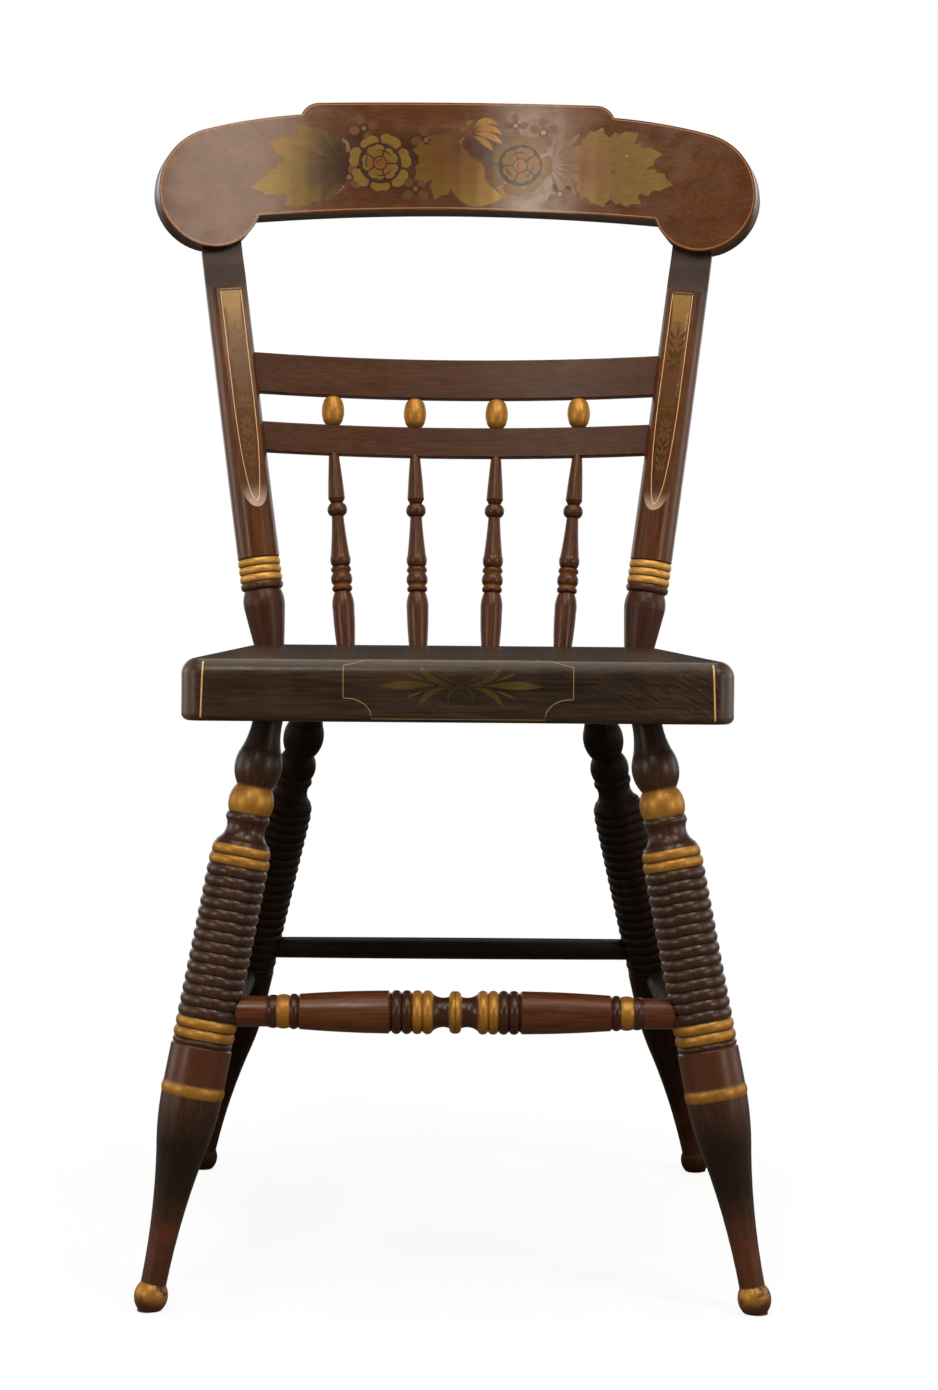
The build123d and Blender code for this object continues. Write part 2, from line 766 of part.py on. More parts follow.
def turned_bead(low, high):
    """A turned egg that stands between the slats on two short tenons."""
    height = distance(low, high)
    low_belly = (bead_radius * 0.9, height * 0.24)
    high_belly = (bead_radius * 0.88, height * 0.79)
    outline = [
        Line((0, -small_tenon_length), (small_tenon_radius, -small_tenon_length)),
        Line((small_tenon_radius, -small_tenon_length), (small_tenon_radius, 0)),
        Line((small_tenon_radius, 0), (bead_end_radius, 0)),
        ThreePointArc((bead_end_radius, 0), (bead_radius * 0.73, height * 0.09), low_belly),
        ThreePointArc(low_belly, (bead_radius, height * 0.52), high_belly),
        ThreePointArc(high_belly, (bead_radius * 0.72, height * 0.92), (bead_end_radius, height)),
        Line((bead_end_radius, height), (small_tenon_radius, height)),
        Line((small_tenon_radius, height), (small_tenon_radius, height + small_tenon_length)),
        Line((small_tenon_radius, height + small_tenon_length), (0, height + small_tenon_length)),
    ]
    return one(frame_between(low, high) * turn(outline))


unbored_slat = lower_slat
seat_sockets = []
spindles = []
beads = []
for number in range(spindle_count):
    place = number - (spindle_count - 1) / 2
    inset = spindle_outer_inset if number in (0, spindle_count - 1) else spindle_inner_inset
    foot = (place * spindle_foot_spacing, seat_rear_y - inset, seat_height)
    head = tuple(slat_point(place * spindle_head_spacing, -lower_top))
    solid, foot_tenon, head_tenon = spindle(foot, head, unbored_slat)
    spindles.append(solid)
    seat_sockets.append(socket(*foot_tenon, spindle_tenon_radius))
    lower_slat -= socket(*head_tenon, small_tenon_radius)

    low = slat_point(place * bead_spacing, lower_top)
    high = slat_point(place * bead_spacing, upper_bottom)
    beads.append(turned_bead(tuple(low), tuple(high)))
    reach = (high - low).normalized() * small_tenon_length
    lower_slat -= socket(low, low - reach, small_tenon_radius)
    upper_slat -= socket(high, high + reach, small_tenon_radius)


# ---------------------------------------------------------------- the seat

def plank():
    """The seat board: wider in front, with rounded corners and a rolled edge."""
    half_front, half_rear = seat_front_width / 2, seat_rear_width / 2
    corners = [
        (-half_front, seat_front_y), (half_front, seat_front_y),
        (half_rear, seat_rear_y), (-half_rear, seat_rear_y),
    ]
    face = make_face(Polyline(*corners, corners[0]))
    face = fillet(face.vertices().filter_by(lambda corner: corner.Y < 0), seat_front_corner)
    face = fillet(face.vertices().filter_by(lambda corner: corner.Y > seat_rear_y - 0.01), seat_rear_corner)
    board = Pos(0, 0, seat_underside) * extrude(face, amount=seat_thickness)
    board = fillet(board.faces().sort_by(Axis.Z)[-1].edges(), seat_top_round)
    return fillet(board.faces().sort_by(Axis.Z)[0].edges(), seat_bottom_round)


def leg_socket(foot, top):
    reach = (Vector(top) - Vector(foot)).normalized()
    return socket(top, Vector(top) + reach * leg_tenon_length, leg_neck_radius)


seat = plank()
for bore in (
    leg_socket(front_foot, front_top),
    leg_socket(rear_foot, rear_top),
    socket(post_root, post_tenon_end, post_tenon_radius),
):
    seat -= bore
    seat -= mirrored(bore)
for bore in seat_sockets:
    seat -= bore

# ---------------------------------------------------------------- names, and the parts written out

nodes = {
    "seat": seat,
    "front_leg_right": front_leg,
    "front_leg_left": mirrored(front_leg),
    "rear_leg_right": rear_leg,
    "rear_leg_left": mirrored(rear_leg),
    "front_stretcher": front_stretcher,
    "rear_stretcher": rear_stretcher,
    "side_stretcher_right": side_stretcher,
    "side_stretcher_left": mirrored(side_stretcher),
    "back_post_right": post,
    "back_post_left": mirrored(post),
    "crest_rail": crest_rail,
    "upper_slat": upper_slat,
    "lower_slat": lower_slat,
}
for number, solid in enumerate(spindles, start=1):
    nodes[f"spindle_{number}"] = solid
for number, solid in enumerate(beads, start=1):
    nodes[f"bead_{number}"] = solid

# the origin is on the floor under the middle of the whole chair
solids = {name: one(shape) for name, shape in nodes.items()}
whole = Compound([solid for solid in solids.values()]).bounding_box()
centre_y = (whole.min.Y + whole.max.Y) / 2
os.makedirs("parts", exist_ok=True)
for name, solid in solids.items():
    export_step(Pos(0, -centre_y, 0) * solid, f"parts/{name}.step")
size = whole.size
print(f"{len(solids)} parts, {size.X:.1f} x {size.Y:.1f} x {size.Z:.1f} mm, moved by {-centre_y:.3f} in Y")
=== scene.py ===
# %% [markdown]
# # A stencilled side chair
# This lesson dresses a finished CAD model of a painted wooden side chair. The model came
# from the workshop as 22 separate wooden pieces. Nothing here moves or reshapes them: Blender
# adds the finish. A chair like this was turned, bent and joined first, then stained a dark
# reddish brown, stencilled with bronze powders, striped with a fine brush and varnished.
# We follow the same order: wood first, then gilding, then stencils and stripes, then light.

# %% Load the chair
import math

import bpy
from mathutils import Matrix, Vector
from mathutils.bvhtree import BVHTree
from mathutils.geometry import delaunay_2d_cdt


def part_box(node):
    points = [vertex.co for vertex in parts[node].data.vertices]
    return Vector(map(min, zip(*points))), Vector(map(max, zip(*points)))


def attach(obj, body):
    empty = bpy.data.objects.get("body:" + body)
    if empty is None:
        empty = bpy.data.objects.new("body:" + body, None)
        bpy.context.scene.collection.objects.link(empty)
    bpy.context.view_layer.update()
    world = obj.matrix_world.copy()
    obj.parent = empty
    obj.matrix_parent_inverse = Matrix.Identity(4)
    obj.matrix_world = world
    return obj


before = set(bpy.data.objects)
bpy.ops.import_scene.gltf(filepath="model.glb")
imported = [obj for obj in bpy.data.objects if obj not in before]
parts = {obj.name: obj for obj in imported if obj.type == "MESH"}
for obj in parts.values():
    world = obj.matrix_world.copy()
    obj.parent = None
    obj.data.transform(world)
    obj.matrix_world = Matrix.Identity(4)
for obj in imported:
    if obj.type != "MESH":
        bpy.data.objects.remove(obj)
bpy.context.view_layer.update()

print("pieces of the chair:", len(parts))

# %% [markdown]
# ## A bench for nodes
# A finish in Blender is a tree of nodes. Adding each node by hand takes several lines, so a
# small class keeps one tree and adds a node in a single call. A value given to it may be a
# socket, which is linked, or a number or colour, which is set on the node itself. Colours
# are written as a painter reads them from a swatch, red, green and blue from 0 to 255, and
# changed to the linear light values that a shader wants.

# %% Colours from a swatch
def swatch(colour):
    """Three values as on screen, 0 to 255, made linear. Four linear values stay as they are."""
    if len(colour) == 4:
        return colour
    linear = []
    for value in (part / 255 for part in colour):
        linear.append(value / 12.92 if value <= 0.04045 else ((value + 0.055) / 1.055) ** 2.4)
    return (*linear, 1.0)


print("mid brown in linear light:", [round(value, 3) for value in swatch((92, 50, 32))[:3]])


# %% Adding nodes
class Bench:
    """A node tree, with a short way to add the nodes that count and measure."""

    def __init__(self, tree):
        tree.nodes.clear()
        self.tree = tree

    def plug(self, value, socket):
        if isinstance(value, bpy.types.NodeSocket):
            self.tree.links.new(value, socket)
        else:
            socket.default_value = value

    def add(self, kind, *inputs, **settings):
        """Adds a node. An input of None is left alone."""
        node = self.tree.nodes.new(kind)
        for name, value in settings.items():
            setattr(node, name, value)
        for place, value in enumerate(inputs):
            if value is not None:
                self.plug(value, node.inputs[place])
        return node

    def calc(self, operation, *inputs):
        return self.add("ShaderNodeMath", *inputs, operation=operation).outputs[0]

    def times(self, first, second):
        return self.calc("MULTIPLY", first, second)

    def vector(self, operation, *inputs):
        return self.add("ShaderNodeVectorMath", *inputs, operation=operation).outputs[0]

    def scaled(self, direction, amount):
        return self.vector("SCALE", direction, None, None, amount)

    def along(self, place, direction):
        """How far a place or a slope reaches along a direction."""
        node = self.add("ShaderNodeVectorMath", place, direction, operation="DOT_PRODUCT")
        return node.outputs[1]

    def length(self, place):
        return self.add("ShaderNodeVectorMath", place, operation="LENGTH").outputs[1]


print("a bench adds nodes, and links or sets their inputs")


# %% Noise, ramps and mixes
class Palette(Bench):
    """A bench that also makes patterns and blends colours."""

    def noise(self, place, scale, detail=3.0, roughness=0.55, distortion=0.0):
        node = self.add("ShaderNodeTexNoise", place)
        for name, value in (("Scale", scale), ("Detail", detail), ("Roughness", roughness),
                            ("Distortion", distortion)):
            node.inputs[name].default_value = value
        return node.outputs[0]

    def ramp(self, value, *stops):
        """A colour ramp. Each stop is a position and a colour, or a position and a grey."""
        node = self.add("ShaderNodeValToRGB", value)
        points = node.color_ramp.elements
        while len(points) < len(stops):
            points.new(1.0)
        for point, (position, colour) in zip(points, stops):
            point.position = position
            point.color = swatch(colour) if isinstance(colour, tuple) else (*(colour,) * 3, 1.0)
        return node.outputs[0]

    def rescale(self, value, low, high, new_low=0.0, new_high=1.0):
        """Smoothly carries low..high to new_low..new_high, and holds the ends."""
        return self.add("ShaderNodeMapRange", value, low, high, new_low, new_high,
                        interpolation_type="SMOOTHSTEP").outputs[0]

    def mix(self, share, first, second):
        node = self.add("ShaderNodeMix", data_type="RGBA")
        for place, value in ((0, share), (6, first), (7, second)):
            self.plug(swatch(value) if isinstance(value, tuple) else value, node.inputs[place])
        return node.outputs[2]


print("a palette blends colours")


# %% A finish
class Finish(Palette):
    """A material with one principled shader, and the piece's own coordinates in metres."""

    def __init__(self, name):
        self.material = bpy.data.materials.new(name)
        self.material.use_nodes = True
        super().__init__(self.material.node_tree)
        self.shader = self.add("ShaderNodeBsdfPrincipled")
        self.add("ShaderNodeOutputMaterial", self.shader.outputs[0])
        self.place = self.add("ShaderNodeTexCoord").outputs["Object"]

    def give(self, sockets):
        """Links or sets sockets of the shader, by name."""
        for name, value in sockets.items():
            self.plug(value, self.shader.inputs[name])

    def tint(self, share, colour):
        """Lays a colour over what is there, as thickly as the share says."""
        self.colour = self.mix(share, self.colour, colour)

    def dull(self, share, amount):
        """Roughens the surface by the amount, where the share is high."""
        self.roughness = self.calc("MULTIPLY_ADD", share, amount, self.roughness)

    def fade(self, start, end, new_low=0.0, new_high=1.0):
        """Changes smoothly between two distances along the piece's axis, in millimetres."""
        return self.rescale(self.reach, start / 1000, end / 1000, new_low, new_high)

    def done(self):
        self.give({"Base Color": self.colour, "Roughness": self.roughness})
        return self.material


def dress(piece, finish):
    """Gives a CAD piece its finish."""
    slots = parts[piece].data.materials
    if slots:
        slots[0] = finish.done()
    else:
        slots.append(finish.done())


print("a finish can be tinted, dulled and put on a piece")

# %% [markdown]
# ## The lathe's axes
# A turned piece is round about one line. Almost everything we paint on it goes by distance
# along that line: a gilded ring, a groove full of dark varnish, a worn foot. So we first note
# where each axis starts and which way it runs, in millimetres as on the workshop drawing.
# Left and right pieces are mirror images, so one line serves for both.

# %% Axes of the turned pieces
SEAT_TOP = 450.0
SEAT_UNDERSIDE = 407.0
SIDE_AXES = {
    "front_leg": ((132.0, -207.92, SEAT_UNDERSIDE), (210.14, -246.99, 0)),
    "rear_leg": ((115.5, 130.08, SEAT_UNDERSIDE), (212.37, 215.14, 0)),
    "back_post": ((151.3, 128.08, SEAT_TOP), (164.9, 139.08, 550.0)),
    "side_stretcher": ((177.31, -230.58, 171.0), (171.67, 179.41, 171.0)),
}
OUTER_SPINDLE = ((89.1, 138.08, SEAT_TOP), (100.8, 161.88, 606.45))
INNER_SPINDLE = ((29.7, 142.08, SEAT_TOP), (33.6, 168.27, 605.29))


def run(ends, sign=1):
    """A start point in metres and the unit direction to the end. A sign of -1 mirrors both."""
    start, end = (Vector((sign * x, y, z)) / 1000 for x, y, z in ends)
    return start, (end - start).normalized()


axes = {f"{piece}_{side}": run(ends, sign) for side, sign in (("right", 1), ("left", -1))
        for piece, ends in SIDE_AXES.items()}
axes["front_stretcher"] = run(((0, -227.35, 204.6), (100, -227.35, 204.6)))
axes["rear_stretcher"] = run(((0, 174.3, 195.5), (100, 174.3, 195.5)))
SPINDLES = ((OUTER_SPINDLE, -1), (INNER_SPINDLE, -1), (INNER_SPINDLE, 1), (OUTER_SPINDLE, 1))
for number, (ends, sign) in enumerate(SPINDLES, 1):
    axes[f"spindle_{number}"] = run(ends, sign)
for piece, (start, direction) in axes.items():
    print(piece, "runs along", [round(value, 3) for value in direction])

# %% [markdown]
# ## The true slope of a turned surface
# A turned piece is stored as thin triangles, and Blender blends the slope from corner to
# corner across them. On a long thin triangle that blend wobbles, and a glossy ring shows it
# as a lumpy highlight. A lathe leaves no lumps, and we know exactly what it cut, so the
# finish works the slope out for itself: straight out from the axis, tilted as far as the
# mesh tilts. On the rings the tilt is worked out too, because each ring is an arc of known
# radius. It only changes how light falls. The shape stays the mesh's own.

# %% The tilt on a row of rings
LEG_RING_ARC = 6.233
POST_RING_ARC = 4.713


def arc_tilt(finish, first, pitch, count, arc):
    """How far a row of half-round rings tilts along the axis, and a mask of where they are."""
    number = finish.calc("DIVIDE", finish.calc("MULTIPLY_ADD", finish.reach, 1000.0, -first), pitch)
    from_middle = finish.calc("SUBTRACT", finish.calc("FRACT", number), 0.5)
    inside = finish.times(finish.calc("GREATER_THAN", number, 0.0),
                          finish.calc("LESS_THAN", number, float(count)))
    return finish.times(from_middle, pitch / arc), inside


print("ring arcs in mm:", LEG_RING_ARC, POST_RING_ARC)

# %% The slope itself
SLOPE_BLEND = 3.0  # mm over which the slope goes back to the mesh's own


def turned_slope(finish, offset, direction, rings=None, until=None):
    """The exact normal of a turned piece. Past "until", in mm, the mesh's own is kept."""
    from_axis = finish.vector("SUBTRACT", offset, finish.scaled(direction, finish.reach))
    outward = finish.vector("NORMALIZE", from_axis)
    mesh_slope = finish.add("ShaderNodeNewGeometry").outputs["Normal"]
    tilt = finish.along(mesh_slope, direction)
    if rings:
        exact, inside = arc_tilt(finish, *rings)
        tilt = finish.calc("MULTIPLY_ADD", inside, finish.calc("SUBTRACT", exact, tilt), tilt)
    square = finish.calc("MULTIPLY_ADD", finish.times(tilt, tilt), -1.0, 1.0)
    flat = finish.calc("SQRT", finish.calc("MAXIMUM", square, 0.0))
    slope = finish.vector("ADD", finish.scaled(outward, flat), finish.scaled(direction, tilt))
    if until is not None:
        kept = finish.fade(until, until + SLOPE_BLEND)
        change = finish.scaled(finish.vector("SUBTRACT", mesh_slope, slope), kept)
        slope = finish.vector("NORMALIZE", finish.vector("ADD", slope, change))
    return slope


print("a turned slope goes over to the mesh's own within", SLOPE_BLEND, "mm")

# %% [markdown]
# ## Stained and varnished wood
# The wood is a plain close-grained hardwood under a thin brown stain and an old varnish. Two
# things make it look like wood and not like plastic: streaks that run along the piece, and a
# gloss that isn't even. A streak is ordinary noise, stretched eighteen times along the
# grain. We stretch it by hand with vector nodes, so it works for a leg that leans in any
# direction. A wider noise makes the stain patchy, fine dark flecks stand for the pores, and
# one more noise makes the gloss uneven. Each kind of piece has its own stain of three browns.

# %% Stains
STAIN = {
    "rings": ((38, 21, 14), (56, 33, 22), (74, 45, 30)),
    "rear": ((15, 8, 5), (25, 14, 9), (38, 22, 14)),
    "show": ((56, 26, 13), (80, 40, 20), (100, 54, 28)),
    "post": ((58, 29, 13), (80, 42, 19), (98, 55, 26)),
    "crest": ((68, 37, 17), (81, 45, 21), (96, 56, 28)),
    "slat": ((54, 30, 17), (67, 38, 22), (81, 48, 29)),
    "spindle": ((50, 25, 14), (74, 39, 22), (94, 53, 30)),
    "seat": ((30, 21, 15), (43, 32, 23), (62, 46, 34)),
}
VARNISH_LIGHT = (1.0, 0.84, 0.69, 1.0)
VARNISH_ROUGHNESS = 0.22
SIDEWAYS, UPRIGHT = Vector((1, 0, 0)), Vector((0, 0, 1))
print("stains:", ", ".join(STAIN))


# %% Streaky wood under varnish
STREAKS, PORES, CLOUDS, WEAR = 640.0, 1900.0, 60.0, 60.0  # how fine each noise is
RELIEF_HEIGHT = 0.0004


def stretched(finish, direction, length=18.0):
    """Coordinates squeezed along the grain, so that noise read from them makes streaks."""
    squeeze = finish.times(finish.along(finish.place, direction), 1 / length - 1)
    return finish.vector("ADD", finish.place, finish.scaled(direction, squeeze))


def stained_wood(name, stain, grain, gloss=0.34, lustre=0.25, relief=0.05, coat=0.06):
    """A finish of stained wood. Gloss is how rough the varnish is, lustre how much it mirrors."""
    finish = Finish(name)
    dark, plain, light = STAIN[stain]
    along = stretched(finish, grain)
    streaks = finish.noise(along, STREAKS, 3.0, 0.6, 0.1)
    pores = finish.noise(along, PORES, 2.0)
    clouds = finish.noise(along, CLOUDS, 2.0, 0.5)
    tone = finish.calc("MULTIPLY_ADD", clouds, 0.35, finish.times(streaks, 0.65))
    finish.colour = finish.ramp(tone, (0.34, dark), (0.50, plain), (0.66, light))
    finish.tint(finish.times(finish.rescale(pores, 0.56, 0.70), 0.22), dark)
    wear = finish.noise(finish.place, WEAR, 4.0, 0.6)
    finish.roughness = finish.rescale(wear, 0.3, 0.75, gloss - 0.04, gloss + 0.08)
    finish.bump = finish.add("ShaderNodeBump")
    for socket, value in (("Strength", relief), ("Distance", RELIEF_HEIGHT), ("Height", streaks)):
        finish.plug(value, finish.bump.inputs[socket])
    finish.give({"Normal": finish.bump.outputs[0], "Specular IOR Level": lustre,
                 "Specular Tint": VARNISH_LIGHT, "Coat Weight": coat,
                 "Coat Roughness": VARNISH_ROUGHNESS})
    return finish


print("wood can be stained along any grain, with a relief of", 1000 * RELIEF_HEIGHT, "mm")


# %% Wood for a turned piece
def turned_wood(piece, stain, name=None, rings=None, until=None, **varnish):
    """Stained wood along a piece's axis, which knows its reach and its true slope."""
    start, direction = axes[piece]
    finish = stained_wood(name or f"{piece}_finish", stain, direction, **varnish)
    offset = finish.vector("SUBTRACT", finish.place, start)
    finish.reach = finish.along(offset, direction)
    slope = turned_slope(finish, offset, direction, rings, until)
    finish.plug(slope, finish.bump.inputs["Normal"])
    return finish


print("pieces that have an axis:", len(axes))

# %% [markdown]
# ## Gilding by distance
# The rings, balls and bands were gilded with bronze powder while the piece still turned
# or stood on the bench, so each one is a clean band round the axis. We could cut the
# bands as separate meshes, but a mask in the same finish follows the turning exactly. A
# ramp of black and white stops, read at the distance along the axis, is that mask. The gold
# itself is half metal, half paint, and a little uneven. In the grooves it gives way to dark
# varnish, which has gathered there.

# %% Masks along an axis
def bands(finish, spans, length, soft=0.4):
    """White between the two distances of each span and black elsewhere, in millimetres."""
    stops = [(0.0, 0.0)]
    for start, end in spans:
        for position, value in ((start - soft, 0.0), (start + soft, 1.0),
                                (end - soft, 1.0), (end + soft, 0.0)):
            stops.append((max(0.0, position / length), value))
    return finish.ramp(finish.calc("DIVIDE", finish.reach, length / 1000), *stops)


def groove_mask(finish, start, pitch, span, length, edge):
    """White in the grooves of a row of rings. A wave is lowest there, and edge is its cut."""
    turns = finish.calc("MULTIPLY_ADD", finish.reach, 2000 * math.pi / pitch,
                        -2 * math.pi * start / pitch - math.pi / 2)
    wave = finish.calc("SINE", turns)
    return finish.times(finish.rescale(wave, edge, -1.0), bands(finish, [span], length))


print("masks are read at the distance along an axis")

# %% Bronze powder in bands
GOLD = ((132, 87, 29), (168, 117, 45), (190, 138, 63))
BRIGHT_GOLD = ((170, 118, 50), (206, 152, 72), (224, 174, 98))
GOLD_ROUGHNESS = 0.43
GOLD_METAL = 0.52


def gild(finish, mask, powders=GOLD):
    """Lays bronze powder over a finish wherever the mask is white."""
    powder = finish.noise(finish.place, 900.0, 3.0, 0.7)
    patches = finish.noise(finish.place, 70.0, 4.0, 0.65)
    tone = finish.calc("MULTIPLY_ADD", powder, 0.35, finish.times(patches, 0.65))
    gold = finish.ramp(tone, *zip((0.30, 0.50, 0.72), powders))
    worn = finish.rescale(patches, 0.66, 0.80)
    share = finish.times(mask, finish.calc("MULTIPLY_ADD", worn, -0.4, 1.0))
    finish.tint(share, gold)
    change = finish.calc("SUBTRACT", GOLD_ROUGHNESS, finish.roughness)
    finish.roughness = finish.calc("MULTIPLY_ADD", share, change, finish.roughness)
    finish.give({"Metallic": finish.times(share, GOLD_METAL)})


print("browns and golds are ready")

# %% [markdown]
# ## The legs
# Each front leg has, from the top, a dark vase, a gilded ball, a small collar and cove,
# then eighteen rings of which the first two and the last two are gilded, a plain length, a
# gilded band and a long dark taper to a ball foot. Feet and ankles get kicked, so there the
# varnish is worn through to the red-brown wood and the foot's gold is patchy. The rear legs
# have the same turning with nineteen rings, stained nearly black, with no gold and little
# gloss. Distances are in millimetres from the underside of the seat.

# %% Wear and grooves of a leg
LEG_LENGTH = 416.3
RINGS_START, RING_PITCH = 90.1, 7.62
LEG_RING_SPAN = (88.0, 232.0)
ANKLE = (325.0, 385.0)
RED_WOOD, GROOVE_DARK = (86, 44, 23), (14, 9, 7)


def leg_wood(piece, stain, ring_count, **varnish):
    rings = (RINGS_START, RING_PITCH, ring_count, LEG_RING_ARC)
    return turned_wood(piece, stain, rings=rings, relief=0.02, **varnish)


def wear_leg(finish, share):
    """Lays the worn ankle and the dark grooves on a leg. Returns the mask of the grooves."""
    scuffs = finish.rescale(finish.noise(finish.place, 45.0, 5.0, 0.7), 0.42, 0.62)
    bare = finish.times(finish.fade(*ANKLE), finish.calc("MULTIPLY_ADD", scuffs, 0.7, 0.3))
    finish.tint(finish.times(bare, share), RED_WOOD)
    grooves = groove_mask(finish, RINGS_START, RING_PITCH, LEG_RING_SPAN, LEG_LENGTH, -0.55)
    finish.tint(finish.times(grooves, 0.75), GROOVE_DARK)
    return grooves


for side in ("left", "right"):
    finish = leg_wood(f"rear_leg_{side}", "rear", 19, gloss=0.46, lustre=0.07, coat=0.0)
    wear_leg(finish, 0.35)
    dress(f"rear_leg_{side}", finish)
print("rear legs stained")

# %% Front legs
VASE_END = 50.0
PLAIN_LENGTH = (232.0, 258.0)
TAPER = (285.0, 350.0)
FOOT_TOP, FOOT_END = (396.5, 398.5), (412.5, 403.5)
VASE_DARK, TAPER_DARK = (24, 16, 13), (13, 8, 6)
FRONT_GOLD = [
    (48.9, 67.8),
    (RINGS_START + 0.2, RINGS_START + 2 * RING_PITCH),
    (RINGS_START + 16 * RING_PITCH, RINGS_START + 18 * RING_PITCH - 0.2),
    (258.6, 266.0),
]
for side in ("left", "right"):
    finish = leg_wood(f"front_leg_{side}", "rings", 18, gloss=0.33, lustre=0.34)
    plain = bands(finish, [PLAIN_LENGTH], LEG_LENGTH)
    finish.tint(finish.times(plain, 0.7), STAIN["show"][1])
    vase = finish.fade(0.0, VASE_END, 0.75, 0.0)
    finish.tint(vase, VASE_DARK)
    finish.dull(vase, 0.14)
    taper = bands(finish, [TAPER], LEG_LENGTH, soft=16.0)
    finish.tint(finish.times(taper, 0.88), TAPER_DARK)
    grooves = wear_leg(finish, 1.0)
    clear = finish.calc("MULTIPLY_ADD", grooves, -0.8, 1.0)
    gold = finish.times(bands(finish, FRONT_GOLD, LEG_LENGTH), clear)
    foot = finish.times(finish.fade(*FOOT_TOP), finish.fade(*FOOT_END))
    patchy = finish.rescale(finish.noise(finish.place, 90.0, 4.0, 0.7), 0.38, 0.52)
    gild(finish, finish.calc("MAXIMUM", gold, finish.times(foot, patchy)))
    dress(f"front_leg_{side}", finish)
print("gilded bands on each front leg:", FRONT_GOLD)

# %% [markdown]
# ## The stretchers
# The front one is for show: a gilded ring in the middle of a cove, pairs of gilded rings
# beside it, two red-brown barrels and a gilded ring near each end. It is the same on both
# sides, so its masks read the distance from the middle, whichever way. The plain ones under
# the seat are only stained.

# %% The show stretcher
SHOW_HALF = 190.0
SHOW_GOLD = [(-2.0, 4.3), (15.8, 30.0), (114.8, 123.2)]
SHOW_DARK = [(4.3, 15.8), (30.0, 45.5), (108.0, 114.8), (123.2, 131.0)]
COVE_DARK = (34, 20, 16)
finish = turned_wood("front_stretcher", "show", "show_stretcher_finish", gloss=0.30, lustre=0.35)
finish.reach = finish.calc("ABSOLUTE", finish.reach)
finish.tint(finish.times(bands(finish, SHOW_DARK, SHOW_HALF), 0.62), COVE_DARK)
gild(finish, bands(finish, SHOW_GOLD, SHOW_HALF))
dress("front_stretcher", finish)
print("gold on the show stretcher, from its middle:", SHOW_GOLD)

# %% The plain stretchers
for piece in ("rear_stretcher", "side_stretcher_left", "side_stretcher_right"):
    grain = axes[piece][1]
    dress(piece, stained_wood(f"{piece}_finish", "rear", grain, gloss=0.48, lustre=0.12))
print("plain stretchers stained")

# %% [markdown]
# ## The back: posts, slats, spindles and beads
# The posts are the warmest brown of the frame. Three of their four turned rings are gilded.
# Below the rings the root is dark. Above the shaved flat the neck is dark too: sharply in
# front, where the flat ends at an edge, and softly behind. Where the flat runs out below, in
# the shape of a spoon, its tip gets a painted highlight, pale where it tilts towards the post's
# top. The slats run from side to side, so their grain follows X. The spindles carry two thin
# gold lines each, one above and one below the middle bead, and dark grooves. The small beads
# between the slats are gilded all over. Distances are in millimetres from the top of the seat.

# %% Tones of a post
POST_LENGTH = 350.0
POST_RINGS, POST_PITCH = 45.2, 6.5
POST_GOLD = [(POST_RINGS + POST_PITCH + 0.2, POST_RINGS + 4 * POST_PITCH - 0.1)]
FLAT_EDGE, NECK, ROOT = (297.0, 304.0), (250.0, 335.0), (75.0, 30.0)
NECK_DARK, ROOT_DARK = (34, 16, 7), (44, 21, 13)
# the spoon tip's painted highlight: where it lies, how far the surface tilts up, its pale colour
SPOON_TIP, SPOON_TILT, SPOON_GLINT = (110.0, 140.0), (0.10, 0.42), (176, 146, 122)


def darken_ends(finish, mesh_slope):
    """The dark neck under the crest and the dark root above the seat."""
    front = finish.rescale(finish.add("ShaderNodeSeparateXYZ", mesh_slope).outputs[1], 0.0, -0.4)
    sharp = finish.times(finish.fade(*FLAT_EDGE), front)
    neck = finish.calc("MAXIMUM", sharp, finish.fade(*NECK))
    finish.tint(finish.times(neck, 0.95), NECK_DARK)
    finish.dull(neck, 0.20)
    root = finish.fade(*ROOT)
    finish.tint(finish.times(root, 0.7), ROOT_DARK)
    finish.dull(root, 0.14)


def paint_spoon_glint(finish, mesh_slope, direction):
    """A painted highlight on the tip of the flat, where the surface tilts towards the post's top.
    """
    tilted = finish.rescale(finish.along(mesh_slope, direction), *SPOON_TILT)
    tip = bands(finish, [SPOON_TIP], POST_LENGTH, soft=2.0)
    # painted highlight: the tip is made pale where it tilts up towards the light
    finish.tint(finish.times(finish.times(tilted, tip), 0.75), SPOON_GLINT)


print("gold on each post, from the seat:", POST_GOLD)

# %% Back posts and slats
POST_RING_SPAN = (43.0, 73.0)
TURNING_END = 78.0
POST_GROOVE_DARK = (24, 13, 9)
for side in ("left", "right"):
    piece = f"back_post_{side}"
    rings = (POST_RINGS, POST_PITCH, 4, POST_RING_ARC)
    finish = turned_wood(piece, "post", rings=rings, until=TURNING_END, gloss=0.28, lustre=0.26)
    grooves = groove_mask(finish, POST_RINGS, POST_PITCH, POST_RING_SPAN, POST_LENGTH, -0.6)
    finish.tint(grooves, POST_GROOVE_DARK)
    mesh_slope = finish.add("ShaderNodeNewGeometry").outputs["Normal"]
    darken_ends(finish, mesh_slope)
    # a painted highlight on the spoon-shaped tip of the flat
    paint_spoon_glint(finish, mesh_slope, axes[piece][1])
    clear = finish.calc("MULTIPLY_ADD", grooves, -0.85, 1.0)
    gild(finish, finish.times(bands(finish, POST_GOLD, POST_LENGTH), clear), BRIGHT_GOLD)
    dress(piece, finish)
for piece in ("upper_slat", "lower_slat"):
    dress(piece, stained_wood(f"{piece}_finish", "slat", SIDEWAYS, gloss=0.36, lustre=0.22))
print("posts and slats stained")

